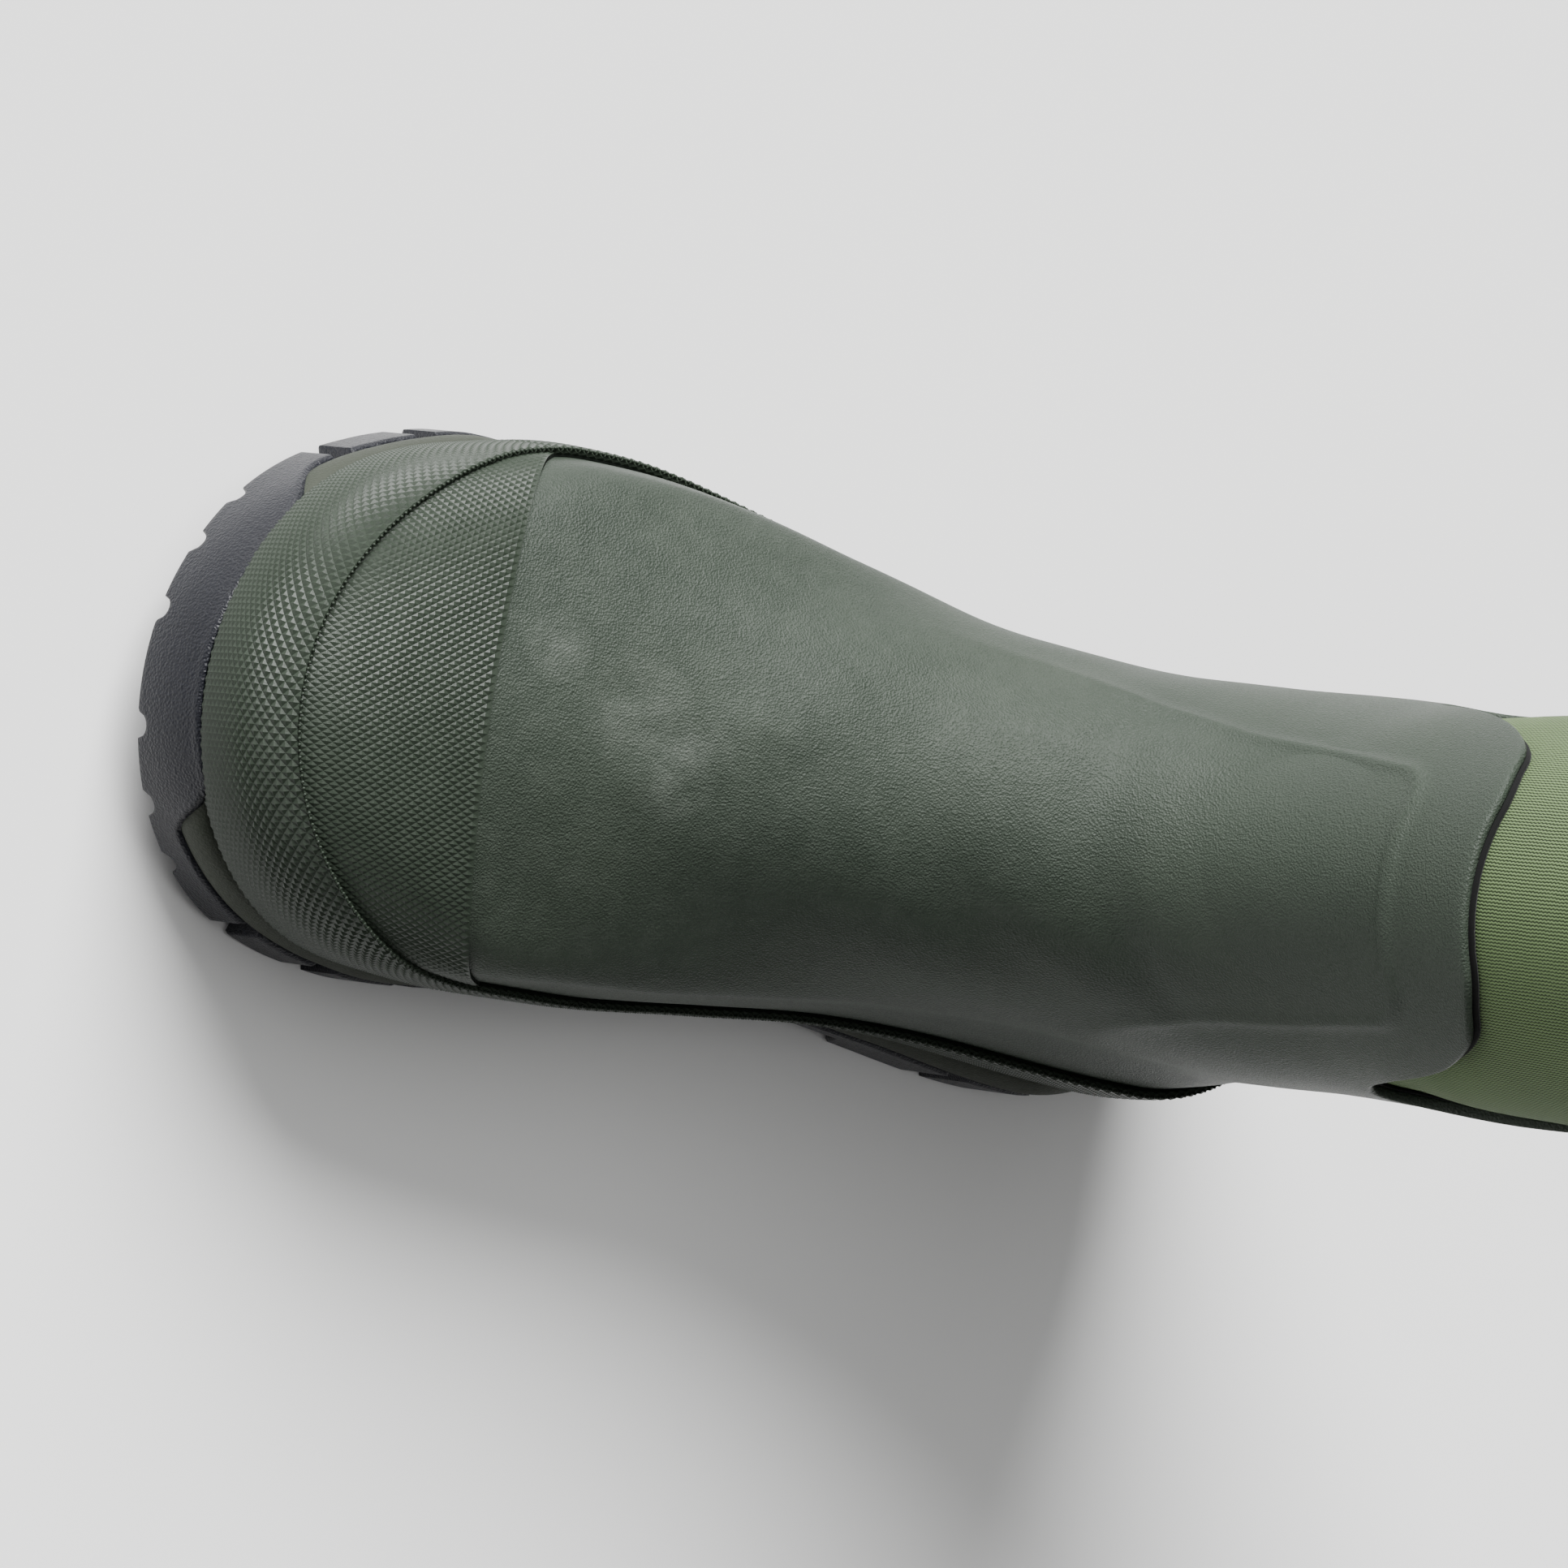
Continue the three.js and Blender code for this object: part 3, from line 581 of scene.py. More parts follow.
def build_seam_beads(spans):
    """The row of tiny beads pressed along the foxing's top edge, each a six-sided ball."""
    ring = np.linspace(0, 2 * np.pi, 6, endpoint=False)
    ball = [(0, 0, -1)]
    for height in (-0.5, 0.5):
        wide = math.sqrt(1 - height * height)
        ball += [(wide * math.cos(a), wide * math.sin(a), height) for a in ring]
    ball = np.array(ball + [(0, 0, 1)])
    faces = []
    for i in range(6):
        j = (i + 1) % 6
        faces += [(0, 1 + j, 1 + i), (1 + i, 1 + j, 7 + j), (1 + i, 7 + j, 7 + i), (7 + i, 7 + j, 13)]
    turns = np.concatenate([band_turns(start, end, FOXING_LOZENGE / 2, 0) for start, end in spans])
    level = level_at(turns, np.array(1.0))
    centres = grown(level, turns, np.full_like(turns, GAP + FOXING_THICKNESS - BEAD_SINK))
    centres[:, 2] += BEAD_LIFT
    points = centres[:, None] + ball * BEAD_RADIUS
    every = np.arange(len(centres))[:, None, None] * len(ball) + np.array(faces)
    return mesh_piece("seam_beads", points, every.reshape(-1, 3))


def seam_turn(share, inner):
    """The turn where the foxing's seam crosses one side."""
    t = np.linspace(0.05, 0.3, 2000)
    x = face(np.full_like(t, 1.5), t)[:, 0]
    turn = float(np.interp(-along_last(share), -x, t))
    return 1 - turn if inner else turn


def build_toe_cap():
    """Rows lie in planes that lean as the cap's rear edge does; columns spread from the middle."""
    along_step, across_step = CAP_LOZENGE[0] / 2, CAP_LOZENGE[1] / 2
    profile = face(np.linspace(1.5, 6.0, 1200), 0.0)
    ahead = ahead_of_cap_edge(profile)
    run = run_along(profile)
    rear_run = float(np.interp(0, -ahead, run))
    front_run = float(run[np.argmin(abs(profile[:, 2] - (foxing_top(250.0) - 2.5)))])
    planes = np.interp(np.arange(rear_run, front_run, -along_step), run, ahead)[:, None]
    turns = np.linspace(-0.34, 0.34, 1361)
    low = np.full((len(planes), len(turns)), 0.5)
    high = np.full_like(low, 7.5)
    level = level_where(low, high, lambda level: ahead_of_cap_edge(face(level, turns)) > planes, 26)
    half = round(CAP_SIDE_REACH / across_step)
    columns = np.arange(-half, half + 1) * across_step
    out_level = np.empty((len(planes), len(columns)))
    out_turn = np.empty_like(out_level)
    for k, curve in enumerate(face(level, turns)):
        arc = run_along(curve)
        arc -= arc[len(turns) // 2]
        out_turn[k] = np.interp(columns, arc, turns)
        out_level[k] = np.interp(out_turn[k], turns, level[k])
    relief = diamonds(len(planes), len(columns), CAP_RELIEF)
    relief[0] = -CAP_RELIEF
    points = grown(out_level, out_turn, GAP + CAP_THICKNESS - 0.12 + relief)
    skirt = grown(out_level[:1], out_turn[:1], np.full((1, len(columns)), 0.05))
    points = np.concatenate([skirt, points])
    inside = points[..., 2] > foxing_top(points[..., 0]) - 1.6
    faces = lozenge_faces(*inside.shape)
    faces = faces[inside.ravel()[faces].all(axis=1)]
    # The faces along the cap's rear skirt take the second slot, painted near-black as the shade of the step
    shaded_gap_faces = faces.min(axis=1) < inside.shape[1]
    piece = mesh_piece("toe_cap_rubber", points, faces, slots=shaded_gap_faces, facets=True)
    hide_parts("toe_cap")
    return piece


# The sole

def sole_outline(turn, grow):
    """Plan points of the sole's edge, grown outwards; turn goes as on the upper."""
    front = along_last(1) + SOLE_TOE + grow
    back = along_last(0) - SOLE_HEEL - grow
    x = mix(back, front, (1 + np.cos(2 * np.pi * turn)) / 2)
    width = PLAN.at("at", "sole_half", share_of(x)) * BALL_WIDTH + grow
    ends = (round_end((front - x) / (SOLE_TOE_ROUND + grow))
            * round_end((x - back) / (SOLE_HEEL_ROUND + grow)))
    side = np.where(np.sin(2 * np.pi * turn) > 0, -1.0, 1.0)
    return np.stack([x, PLAN.at("at", "sole_swing", share_of(x)) * BALL_WIDTH + side * width * ends], -1)


def even_sole_turns(count):
    turns = np.linspace(0, 1, 6001)
    run = run_along(sole_outline(turns, 0))
    return np.interp(np.linspace(0, run[-1], count, endpoint=False), run, turns)


def bumper_climb(x, y):
    """How far the toe bumper has risen from the plate, 0 along the sides and 1 at the toe."""
    tip = along_last(1) + SOLE_TOE
    start = tip - BUMPER_OUTER_END
    outer = smooth(start - BUMPER_SLOPE, start + BUMPER_SLOPE * 0.6, x)
    inner = smooth(tip - BUMPER_INNER_END - 5, tip - BUMPER_INNER_END + 3, x)
    return np.where(y < 0, outer, inner)


def build_midsole():
    turns = even_sole_turns(720)
    rows = []
    share = np.linspace(0, 1, 15)
    edge = sole_outline(turns, 0)
    roll = MIDSOLE_ROLL * (1 - bumper_climb(edge[:, 0], edge[:, 1]))
    for s in share:
        tuck = abs(2 * s - 1) ** 2.6 * MIDSOLE_ROUND * (1.0 if s > 0.5 else 0.4)
        xy = sole_outline(turns, -MIDSOLE_INSET - tuck + roll * math.cos(math.pi / 2 * s) ** 0.6)
        seat = seat_height(xy[:, 0])
        rows.append(np.column_stack([xy, mix(seat - MIDSOLE_THICKNESS, seat, s)]))
    for grow in (-8, -14):
        xy = sole_outline(turns, grow)
        rows.append(np.column_stack([xy, seat_height(xy[:, 0])]))
        rows.insert(0, np.column_stack([xy, seat_height(xy[:, 0]) - MIDSOLE_THICKNESS]))
    grid = np.array(rows)
    piece = mesh_piece("midsole_band", grid, grid_faces(len(grid), len(turns), tube=True))
    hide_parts("midsole")
    return piece


def edge_gaps():
    """Middles and directions of the gaps between the lugs along the edge."""
    front, back = along_last(1) + SOLE_TOE, along_last(0) - SOLE_HEEL
    places = [front - FIRST_GAP - i * TREAD_PITCH for i in range(SIDE_GAP_COUNT)]
    places += [along_last(HEEL_BREAST_AT) - i * HEEL_PITCH for i in range(1, HEEL_GAP_COUNT + 1)]
    result = []
    for x in places:
        turn = math.acos(2 * (x - back) / (front - back) - 1) / (2 * math.pi)
        for t in (turn, 1 - turn):
            middle = sole_outline(np.array(t), 0)
            along = sole_outline(np.array(t + 0.004), 0) - sole_outline(np.array(t - 0.004), 0)
            result.append((middle, along / np.linalg.norm(along)))
    return result


def within(value, limit):
    """1 up to a limit and 0 past it, with a groove's soft edge."""
    return smooth(limit + GROOVE_SOFT, limit - GROOVE_SOFT, value)


def between(value, low, high):
    return smooth(low - GROOVE_SOFT, low + GROOVE_SOFT, value) * within(value, high)


def groove_depth(x, y, inset):
    """How far the tread is cut at a plan point, from 0 on a lug to 1 in a groove."""
    cut = np.zeros_like(x)
    for middle, along in edge_gaps():
        dx, dy = x - middle[0], y - middle[1]
        across = np.abs(dx * along[0] + dy * along[1])
        reach = np.abs(-dx * along[1] + dy * along[0])
        cut = np.maximum(cut, within(across, LUG_GAP / 2) * within(reach, LUG_REACH))
    cut = np.maximum(cut, between(inset, LUG_REACH, LUG_REACH + RING_GROOVE))
    aside = np.abs(y)
    first = along_last(1) + SOLE_TOE - FIRST_GAP
    for i in range(SIDE_GAP_COUNT):
        start = first - (i + 0.5) * TREAD_PITCH + MIDDLE_BAR_POINT * (1 - aside / MIDDLE_BAR_HALF)
        cut = np.maximum(cut, between(x, start, start + LUG_GAP) * within(aside, MIDDLE_BAR_HALF))
    for place in HEEL_BARS:
        cut = np.maximum(cut, within(np.abs(x - place), LUG_GAP / 2) * within(aside, HEEL_BAR_HALF))
    return cut


def toe_groove_lift(x, y):
    """Height cut from the toe's lower edge by its round grooves."""
    centre = along_last(1) + SOLE_TOE - SOLE_TOE_ROUND
    aside = PLAN.at("at", "sole_swing", 1.0) * BALL_WIDTH
    angle = np.arctan2(y - aside, x - centre)
    radius = np.hypot(x - centre, y - aside)
    lift = np.zeros_like(x)
    for degrees in TOE_GROOVE_ANGLES:
        for side in (-1, 1):
            off = radius * np.sin(angle - side * math.radians(degrees))
            lift = np.maximum(lift, np.sqrt(np.maximum(0, TOE_GROOVE_RADIUS ** 2 - off ** 2)))
    return np.where((radius > 30) & (x > centre), lift, 0)


def build_outsole():
    turns = even_sole_turns(1040)
    edge = sole_outline(turns, 0)
    notch = np.zeros(len(turns))
    for middle, along in edge_gaps():
        off = np.abs((edge - middle) @ along)
        near = np.linalg.norm(edge - middle, axis=1) < 8
        notch = np.maximum(notch, near * smooth(LUG_GAP / 2 + 0.4, LUG_GAP / 2 - 0.4, off))
    notch_depth = notch * (MIDSOLE_INSET - 0.35)
    # The rim's top is the plate's, or the bumper's
    x, y = edge[:, 0], edge[:, 1]
    plate_top = seat_height(x) - MIDSOLE_THICKNESS - GAP
    climb = bumper_climb(x, y)
    rim_top = mix(plate_top, BUMPER_TOP, climb)

    def under(xy, inset):
        ux, uy = xy[:, 0], xy[:, 1]
        tread, root = tread_height(ux), root_height(ux)
        z = tread + np.maximum(root - tread, 0) * groove_depth(ux, uy, inset)
        plate = seat_height(ux) - MIDSOLE_THICKNESS - 2 * GAP
        return np.minimum(np.maximum(z, tread + toe_groove_lift(ux, uy)), plate)

    rows = []
    # The ledge, from under the midsole out to the wall
    for grow in (-MIDSOLE_INSET - 6, -MIDSOLE_INSET + 0.05):
        xy = sole_outline(turns, grow)
        top = seat_height(xy[:, 0]) - MIDSOLE_THICKNESS - GAP
        rows.append(np.column_stack([xy, top]))
    for share in (0.0, 0.5, 0.85):
        inset = mix(MIDSOLE_INSET - 0.25, 0.6 + BUMPER_LEAN * climb, share)
        xy = sole_outline(turns, -np.maximum(inset, notch_depth))
        rows.append(np.column_stack([xy, rim_top]))
    wall_top = rim_top - 0.7
    wall_foot = under(sole_outline(turns, -notch_depth), notch_depth) + 0.6
    for share in np.linspace(0, 1, 16):
        height = mix(wall_top, wall_foot, share)
        tuck = BUMPER_LEAN * climb * np.clip((height - 15) / 13, 0, 1) ** 2
        rim = 0.1 if share == 0 else 0.0
        xy = sole_outline(turns, -np.maximum(notch_depth, tuck + rim))
        rows.append(np.column_stack([xy, height]))
    for inset in np.concatenate([[0.6], np.arange(1.4, 22, 0.8)]):
        xy = sole_outline(turns, -np.maximum(notch_depth, inset))
        rows.append(np.column_stack([xy, under(xy, np.full(len(turns), inset))]))
    ring = rows[-1][:, :2]
    centre = np.column_stack([ring[:, 0], PLAN.at("at", "sole_swing", share_of(ring[:, 0])) * BALL_WIDTH])
    for share in np.linspace(0, 1, 30)[1:]:
        xy = mix(ring, centre, share)
        rows.append(np.column_stack([xy, under(xy, np.full(len(turns), 22 + 20 * share))]))
    grid = np.array(rows)
    piece = mesh_piece("outsole_rubber", grid, grid_faces(len(grid), len(turns)))
    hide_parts("outsole")
    return piece


# Materials

def new_group(name, inputs, outputs):
    group = bpy.data.node_groups.new(name, "ShaderNodeTree")
    for label, kind, value in inputs:
        socket = group.interface.new_socket(label, in_out="INPUT", socket_type=kind)
        if value is not None:
            socket.default_value = value
    for label, kind in outputs:
        group.interface.new_socket(label, in_out="OUTPUT", socket_type=kind)
    return group, Nodes(group)


class Nodes:
    """Short ways to add and join shader nodes."""

    def __init__(self, tree):
        self.tree = tree

    def add(self, kind, **settings):
        node = self.tree.nodes.new(kind)
        for key, value in settings.items():
            setattr(node, key, value)
        return node

    def link(self, source, target):
        self.tree.links.new(source, target)

    def feed(self, target, value):
        if isinstance(value, bpy.types.NodeSocket):
            self.link(value, target)
        else:
            target.default_value = value

    def math(self, operation, a, b=None, c=None, clamp=False):
        node = self.add("ShaderNodeMath", operation=operation, use_clamp=clamp)
        for socket, value in zip(node.inputs, (a, b, c)):
            if value is not None:
                self.feed(socket, value)
        return node.outputs[0]

    def span(self, value, low, high, to_low=0.0, to_high=1.0):
        node = self.add("ShaderNodeMapRange")
        for socket, given in zip(node.inputs[:5], (value, low, high, to_low, to_high)):
            self.feed(socket, given)
        return node.outputs[0]

    def noise(self, vector, scale, detail=3.0, rough=0.55):
        node = self.add("ShaderNodeTexNoise")
        self.feed(node.inputs["Vector"], vector)
        self.feed(node.inputs["Scale"], scale)
        node.inputs["Detail"].default_value = detail
        node.inputs["Roughness"].default_value = rough
        return node.outputs["Fac"]

    def blend(self, share, a, b):
        node = self.add("ShaderNodeMix", data_type="RGBA")
        for socket, value in ((node.inputs[0], share), (node.inputs[6], a), (node.inputs[7], b)):
            self.feed(socket, value)
        return node.outputs[2]

    def group(self, tree, **inputs):
        node = self.add("ShaderNodeGroup", node_tree=tree)
        for key, value in inputs.items():
            self.feed(node.inputs[key], value)
        return node

    def bump(self, shader, height, strength, distance):
        node = self.add("ShaderNodeBump")
        node.inputs["Strength"].default_value = strength
        node.inputs["Distance"].default_value = distance
        self.link(height, node.inputs["Height"])
        self.link(node.outputs[0], shader.inputs["Normal"])


def grain_group():
    """Fine leather-like cells: their height, and how the gloss changes over them."""
    group, n = new_group("rubber_grain", (
        ("Vector", "NodeSocketVector", None),
        ("Cell", "NodeSocketFloat", 1500.0),
    ), (("Height", "NodeSocketFloat"), ("Gloss", "NodeSocketFloat")))
    source = n.add("NodeGroupInput")
    cells = n.add("ShaderNodeTexVoronoi", feature="SMOOTH_F1")
    n.feed(cells.inputs["Vector"], source.outputs["Vector"])
    n.feed(cells.inputs["Scale"], source.outputs["Cell"])
    cells.inputs["Smoothness"].default_value = 0.6
    wrinkle = n.noise(source.outputs["Vector"], n.math("MULTIPLY", source.outputs["Cell"], 0.7), 4, 0.6)
    dimples = n.math("MULTIPLY", cells.outputs["Distance"], 0.7)
    height = n.math("ADD", dimples, n.math("MULTIPLY", wrinkle, 0.6))
    gloss = n.span(wrinkle, 0.3, 0.7, 0.06, -0.04)
    sink = n.add("NodeGroupOutput")
    n.link(height, sink.inputs["Height"])
    n.link(gloss, sink.inputs["Gloss"])
    return group


def highlight_patch_group():
    """A ragged pale patch of painted highlight, where the vamp's fine wrinkles catch the light, as a share
    from 0 to 1.
    """
    group, n = new_group("painted_highlight_patch", (
        ("Vector", "NodeSocketVector", None),
        ("Centre", "NodeSocketVector", None),
        ("Reach", "NodeSocketFloat", 0.012),
    ), (("Patch", "NodeSocketFloat"),))
    source = n.add("NodeGroupInput")
    away = n.add("ShaderNodeVectorMath", operation="DISTANCE")
    n.link(source.outputs["Vector"], away.inputs[0])
    n.link(source.outputs["Centre"], away.inputs[1])
    ragged = n.noise(source.outputs["Vector"], 130.0, 9, 0.7)
    far = n.math("DIVIDE", away.outputs["Value"], source.outputs["Reach"])
    near = n.math("SUBTRACT", 1.0, far, clamp=True)
    patch = n.math("MULTIPLY", n.math("SQRT", near), n.span(ragged, 0.36, 0.72))
    sink = n.add("NodeGroupOutput")
    n.link(patch, sink.inputs["Patch"])
    return group


def weather_group():
    """Slow cloudy changes and a little settled dust, as one share from 0 to 1."""
    group, n = new_group("cloud_and_dust", (
        ("Vector", "NodeSocketVector", None),
        ("Scale", "NodeSocketFloat", 18.0),
    ), (("Cloud", "NodeSocketFloat"), ("Dust", "NodeSocketFloat")))
    source = n.add("NodeGroupInput")
    cloud = n.noise(source.outputs["Vector"], source.outputs["Scale"], 3, 0.5)
    fine = n.noise(source.outputs["Vector"], n.math("MULTIPLY", source.outputs["Scale"], 9.0), 5, 0.7)
    normal = n.add("ShaderNodeSeparateXYZ")
    n.link(n.add("ShaderNodeNewGeometry").outputs["Normal"], normal.inputs[0])
    level = n.math("POWER", n.span(normal.outputs["Z"], -0.5, 1.0), 2.0)
    dust = n.math("MULTIPLY", n.span(fine, 0.42, 0.75), level, clamp=True)
    sink = n.add("NodeGroupOutput")
    n.link(n.span(cloud, 0.3, 0.7), sink.inputs["Cloud"])
    n.link(dust, sink.inputs["Dust"])
    return group


def knit_group():
    """Ribs of fine knit running up the shaft, each a row of small stitches."""
    group, n = new_group("fine_knit", (
        ("UV", "NodeSocketVector", None),
        ("Rib", "NodeSocketFloat", 0.00086),
        ("Stitch", "NodeSocketFloat", 0.0011),
    ), (("Height", "NodeSocketFloat"), ("Rib Face", "NodeSocketFloat")))
    source = n.add("NodeGroupInput")
    split = n.add("ShaderNodeSeparateXYZ")
    n.link(source.outputs["UV"], split.inputs[0])
    shake = n.noise(source.outputs["UV"], 240.0, 2, 0.5)
    u = n.math("DIVIDE", split.outputs["X"], source.outputs["Rib"])
    v = n.math("DIVIDE", split.outputs["Y"], source.outputs["Stitch"])
    u = n.math("ADD", u, n.math("MULTIPLY", n.math("SUBTRACT", shake, 0.5), 0.6))
    wave = n.math("MULTIPLY", n.math("SINE", n.math("MULTIPLY", v, 2 * math.pi)), 0.12)
    rib = n.math("ABSOLUTE", n.math("SINE", n.math("MULTIPLY", n.math("ADD", u, wave), math.pi)))
    stitch = n.math("ABSOLUTE", n.math("SINE", n.math("MULTIPLY", v, math.pi)))
    height = n.math("ADD", rib, n.math("MULTIPLY", stitch, 0.35))
    sink = n.add("NodeGroupOutput")
    n.link(height, sink.inputs["Height"])
    n.link(rib, sink.inputs["Rib Face"])
    return group


GRAIN, HIGHLIGHT_PATCH, WEATHER, KNIT = grain_group(), highlight_patch_group(), weather_group(), knit_group()


def new_material(name):
    material = bpy.data.materials.new(name)
    material.use_nodes = True
    tree = material.node_tree
    tree.nodes.clear()
    n = Nodes(tree)
    shader = n.add("ShaderNodeBsdfPrincipled")
    sink = n.add("ShaderNodeOutputMaterial")
    n.link(shader.outputs[0], sink.inputs[0])
    place = n.add("ShaderNodeTexCoord")
    return material, n, shader, place


def rubber(name, dark, light, dust, roughness, grain_cell, bump, specular=0.35, highlight_patches=(),
           highlight_tone=(0.3, 0.32, 0.29, 1.0)):
    """Moulded rubber with a fine grain, cloudy tone, a trace of dust and pale patches of painted highlight.
    """
    material, n, shader, place = new_material(name)
    spot = place.outputs["Object"]
    weather = n.group(WEATHER, Vector=spot)
    grain = n.group(GRAIN, Vector=spot, Cell=grain_cell)
    tone = n.blend(weather.outputs["Cloud"], dark, light)
    tone = n.blend(n.math("MULTIPLY", weather.outputs["Dust"], 0.12), tone, dust)
    height = grain.outputs["Height"]
    for centre, reach in highlight_patches:
        patch = n.group(HIGHLIGHT_PATCH, Vector=spot, Centre=centre, Reach=reach).outputs["Patch"]
        # Pale colour painted in as highlight; the added bump gives the wrinkles
        tone = n.blend(n.math("MULTIPLY", patch, 0.1), tone, highlight_tone)
        height = n.math("ADD", height, n.math("MULTIPLY", patch, 0.35))
    n.link(tone, shader.inputs["Base Color"])
    gloss = n.math("ADD", n.math("ADD", grain.outputs["Gloss"], roughness),
                   n.math("MULTIPLY", weather.outputs["Cloud"], 0.05))
    n.link(gloss, shader.inputs["Roughness"])
    n.bump(shader, height, bump, 0.0004)
    shader.inputs["Specular IOR Level"].default_value = specular
    return material


def knit(name, dark, light, coordinates="UV"):
    """Fine knit, painted near-black between the ribs as the shade in the grooves."""
    material, n, shader, place = new_material(name)
    ribs = n.group(KNIT, UV=place.outputs[coordinates], Rib=RIB * MM)
    weather = n.group(WEATHER, Vector=place.outputs["Object"])
    # Painted shade: the colour falls to near-black off the rib faces, in the grooves between ribs
    tone = n.blend(n.span(ribs.outputs["Rib Face"], 0.25, 0.97), dark, light)
    paler = tuple(c * 1.18 for c in light[:3]) + (1.0,)
    tone = n.blend(n.math("MULTIPLY", weather.outputs["Cloud"], 0.22), tone, paler)
    n.link(tone, shader.inputs["Base Color"])
    n.link(n.span(ribs.outputs["Rib Face"], 0, 1, 0.95, 0.78), shader.inputs["Roughness"])
    n.bump(shader, ribs.outputs["Height"], 0.7, 0.0003)
    shader.inputs["Sheen Weight"].default_value = 0.06
    shader.inputs["Sheen Roughness"].default_value = 0.5
    shader.inputs["Specular IOR Level"].default_value = 0.1
    return material


def colour(red, green, blue):
    """A display colour from 0 to 255, as the linear values that a shader takes."""
    return tuple((c / 255 / 12.92) if c <= 10 else ((c / 255 + 0.055) / 1.055) ** 2.4
                 for c in (red, green, blue)) + (1.0,)


# Middles and reach of the pale patches of painted highlight on the vamp's wrinkles, in metres
VAMP_HIGHLIGHTS = (
    ((0.1835, -0.0084, 0.0803), 0.013), ((0.1739, 0.0034, 0.084), 0.010),
    ((0.2016, -0.0181, 0.0726), 0.008), ((0.1692, -0.0046, 0.0866), 0.007),
)
green_rubber = rubber("green_rubber", colour(39, 46, 39), colour(44, 51, 43), colour(92, 98, 90),
                      0.46, 2200.0, 0.7, specular=0.16, highlight_patches=VAMP_HIGHLIGHTS)
textured_rubber = rubber("textured_rubber", colour(34, 41, 33), colour(39, 46, 38), colour(80, 87, 78),
                         0.34, 2600.0, 0.1, specular=0.17)
# Near-black rubber painted as the shade in the gaps where the foxing and cap meet the upper
gap_shade_rubber = rubber("gap_shade_rubber", colour(17, 21, 17), colour(21, 25, 21), colour(50, 54, 50),
                    0.9, 2600.0, 0.2, specular=0.05)
band_rubber = rubber("band_rubber", colour(38, 42, 34), colour(44, 48, 40), colour(84, 86, 76),
                     0.6, 2100.0, 0.4, specular=0.2)
sole_rubber = rubber("sole_rubber", colour(17, 18, 23), colour(21, 22, 28), colour(66, 68, 74),
                     0.34, 1700.0, 0.7, specular=0.2)
knit_fabric = knit("knit_fabric", colour(10, 14, 7), colour(86, 104, 68))
# Near-black knit for the shaft's inner lining, also used as the painted shade of the gap above the rubber's
# top edge
lining_and_gap_shade = knit("lining_and_gap_shade", colour(12, 12, 12), colour(24, 25, 24))
footbed_fabric = knit("footbed_fabric", colour(30, 32, 30), colour(52, 54, 50), "Object")


# The boot

upper = build_upper()
upper.data.materials.append(green_rubber)
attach(upper, "root")

# The dark line of painted shade in the gap above the rubber's top edge
edge_gap_shade = build_edge_gap_shade()
edge_gap_shade.data.materials.append(lining_and_gap_shade)
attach(edge_gap_shade, "root")

shaft = build_shaft()
shaft.data.materials.append(knit_fabric)
shaft.data.materials.append(lining_and_gap_shade)
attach(shaft, "root")

toe_cap = build_toe_cap()
outer_seam, inner_seam = seam_turn(SEAM_OUTER_AT, False), seam_turn(SEAM_INNER_AT, True)
toe_span = (inner_seam - 1 + SEAM_TURN / 2, outer_seam - SEAM_TURN / 2)
side_span = (outer_seam + SEAM_TURN / 2, inner_seam - SEAM_TURN / 2)
toe_foxing = build_foxing("toe_foxing_rubber", "toe_foxing", *toe_span)
side_foxing = build_foxing("side_foxing_rubber", "side_foxing", *side_span)
seam_beads = build_seam_beads((toe_span, side_span))
for piece in (toe_cap, toe_foxing, side_foxing, seam_beads):
    piece.data.materials.append(textured_rubber)
    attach(piece, "root")
# Their strips against the upper are painted near-black as shade
for piece in (toe_cap, toe_foxing, side_foxing):
    piece.data.materials.append(gap_shade_rubber)

midsole = build_midsole()
midsole.data.materials.append(band_rubber)
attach(midsole, "root")

outsole = build_outsole()
outsole.data.materials.append(sole_rubber)
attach(outsole, "root")

footbed = bpy.data.objects["insole"]
footbed.data.materials.clear()
footbed.data.materials.append(footbed_fabric)


# Floor, light and camera

BACKDROP_LIGHT = 0.17
BACKDROP_SHOWN = 1.05


def lay_floor():
    bpy.ops.mesh.primitive_grid_add(x_subdivisions=8, y_subdivisions=8, size=8)
    floor = bpy.context.object
    floor.name = "floor"
    material, n, shader, place = new_material("pale_floor")
    n.link(n.span(n.noise(place.outputs["Object"], 3.0), 0.3, 0.7, 0.9, 0.94), shader.inputs["Roughness"])
    shader.inputs["Base Color"].default_value = (0.86, 0.86, 0.855, 1)
    floor.data.materials.append(material)
    return floor


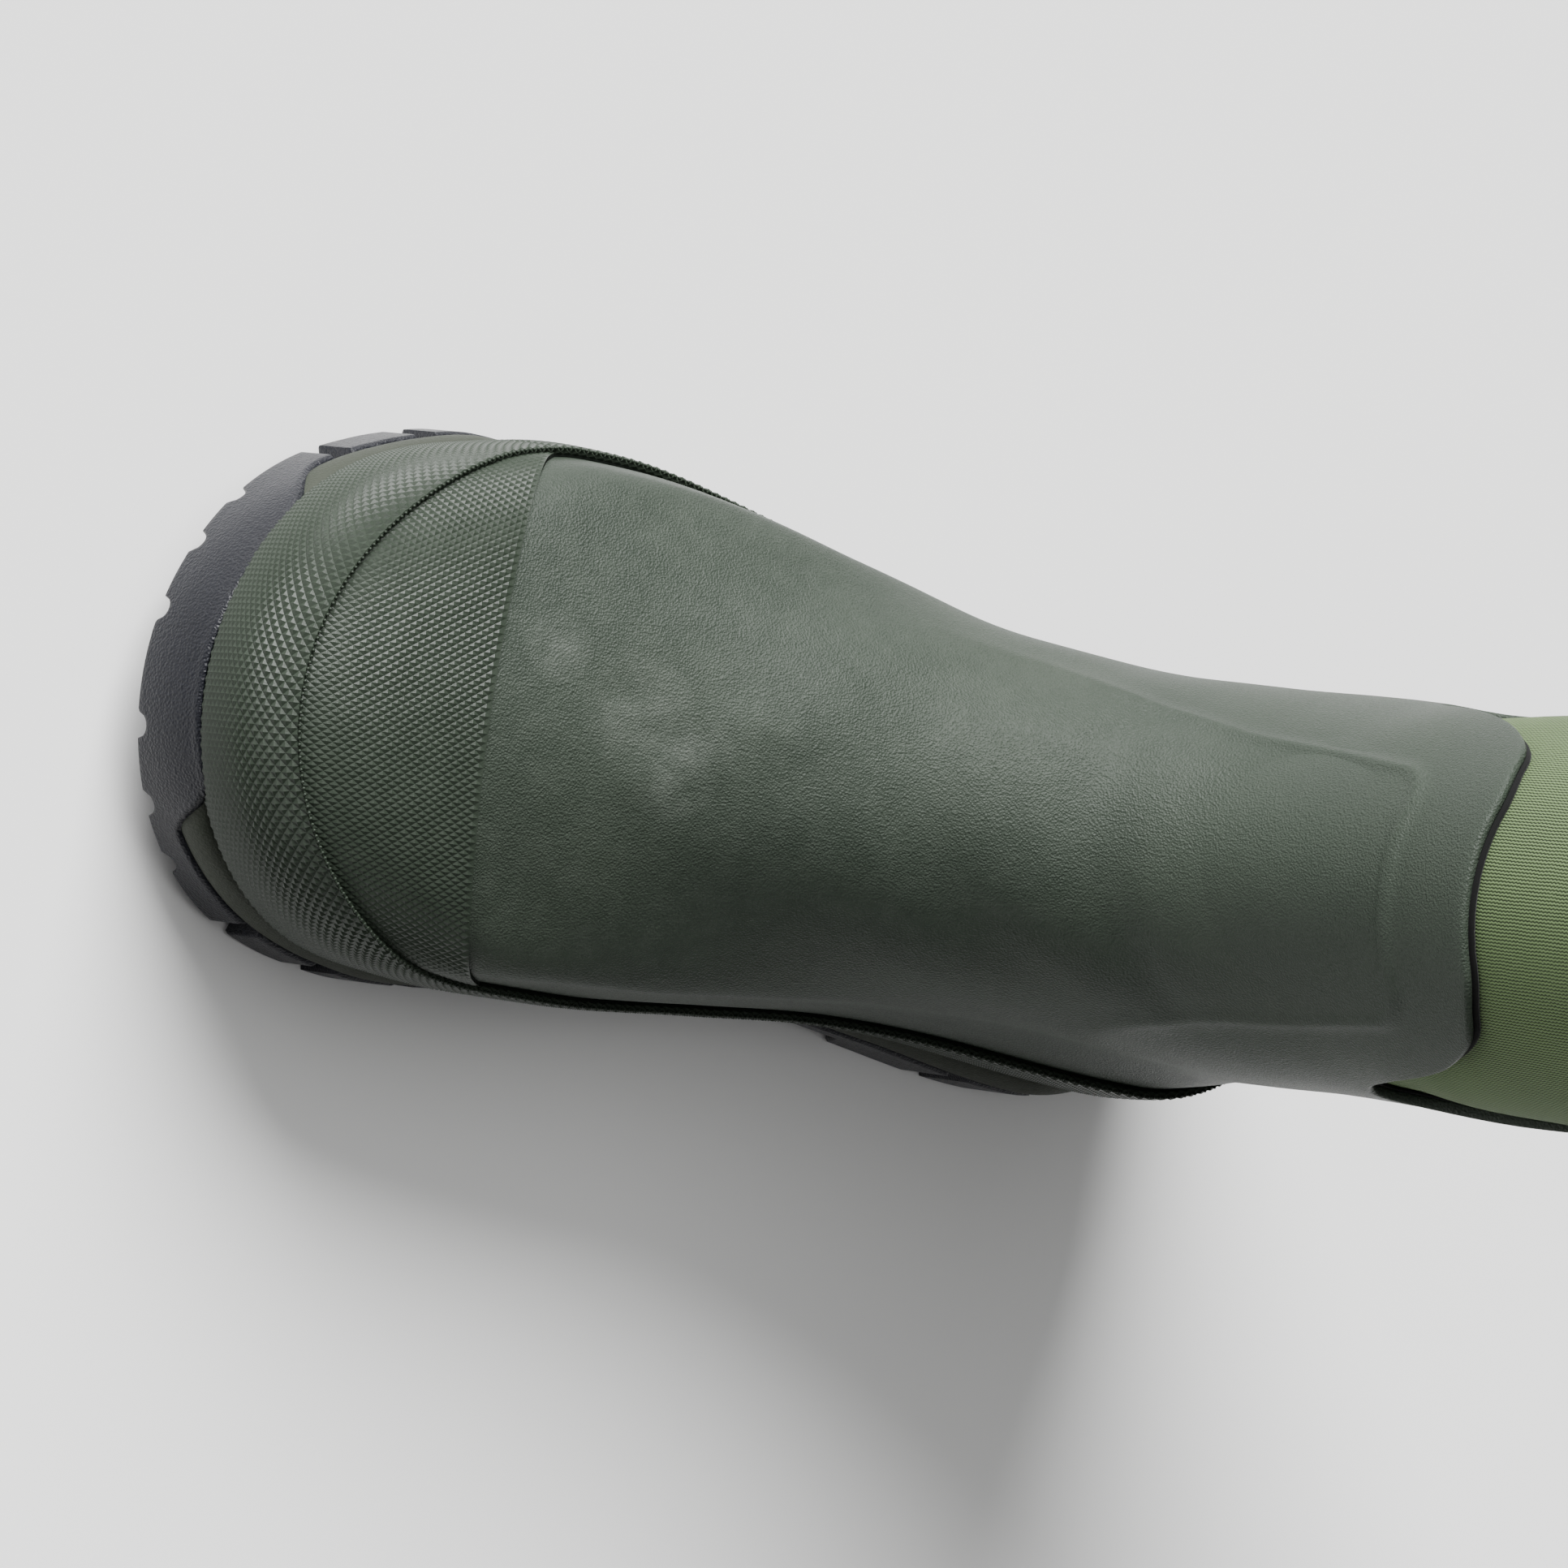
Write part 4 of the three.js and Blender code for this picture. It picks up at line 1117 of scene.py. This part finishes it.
def light_backdrop():
    """An even pale backdrop, which looks brighter to the camera than the light that it gives."""
    world = bpy.data.worlds.new("studio")
    world.use_nodes = True
    backdrop = world.node_tree.nodes["Background"]
    backdrop.inputs["Color"].default_value = (1, 1, 1, 1)
    n = Nodes(world.node_tree)
    seen = n.add("ShaderNodeLightPath").outputs["Is Camera Ray"]
    strength = n.math("MULTIPLY_ADD", seen, BACKDROP_SHOWN - BACKDROP_LIGHT, BACKDROP_LIGHT)
    n.link(strength, backdrop.inputs["Strength"])
    bpy.context.scene.world = world


def soft_sun(name, source, spread, strength):
    light = bpy.data.lights.new(name, "SUN")
    light.angle = math.radians(spread)
    light.energy = strength
    lamp = bpy.data.objects.new(name, light)
    bpy.context.scene.collection.objects.link(lamp)
    lamp.rotation_euler = (-Vector(source)).to_track_quat("-Z", "Y").to_euler()


floor = lay_floor()
light_backdrop()
soft_sun("key", (0.4, -1.0, 0.6), 44, 13.0)
soft_sun("over", (0.35, -0.25, 1.0), 50, 1.2)

# The photo's view: its angles, its scale at the ball of the foot and where the ball shows
ELEVATION = math.radians(48.2)
YAW = math.radians(5.5)
ROLL = math.radians(6.6)
PIXELS = 1932
PIXELS_PER_MM = 5.868
DISTANCE = 2.5
BALL = Vector((0.172, 0, 0.055))
BALL_PIXEL = (731, 926)
BALL_RIGHT_OF_FRAME = (BALL_PIXEL[0] - PIXELS / 2) / PIXELS_PER_MM * MM
BALL_ABOVE_FRAME = (PIXELS / 2 - BALL_PIXEL[1]) / PIXELS_PER_MM * MM


def aim_camera():
    turn = Matrix.Rotation(YAW, 3, "Z")
    back = turn @ Vector((math.cos(ELEVATION), 0, math.sin(ELEVATION)))
    along = turn @ Vector((-math.sin(ELEVATION), 0, math.cos(ELEVATION)))
    aside = turn @ Vector((0, -1, 0))
    right = along * math.cos(ROLL) + aside * math.sin(ROLL)
    up = aside * math.cos(ROLL) - along * math.sin(ROLL)
    data = bpy.data.cameras.new("camera")
    data.sensor_width = 36
    data.lens = PIXELS_PER_MM / MM * DISTANCE / PIXELS * data.sensor_width
    data.clip_end = 20
    camera = bpy.data.objects.new("camera", data)
    bpy.context.scene.collection.objects.link(camera)
    centre = BALL - right * BALL_RIGHT_OF_FRAME - up * BALL_ABOVE_FRAME
    basis = Matrix((right, up, back)).transposed().to_4x4()
    camera.matrix_world = Matrix.Translation(centre + back * DISTANCE) @ basis
    bpy.context.scene.camera = camera


aim_camera()
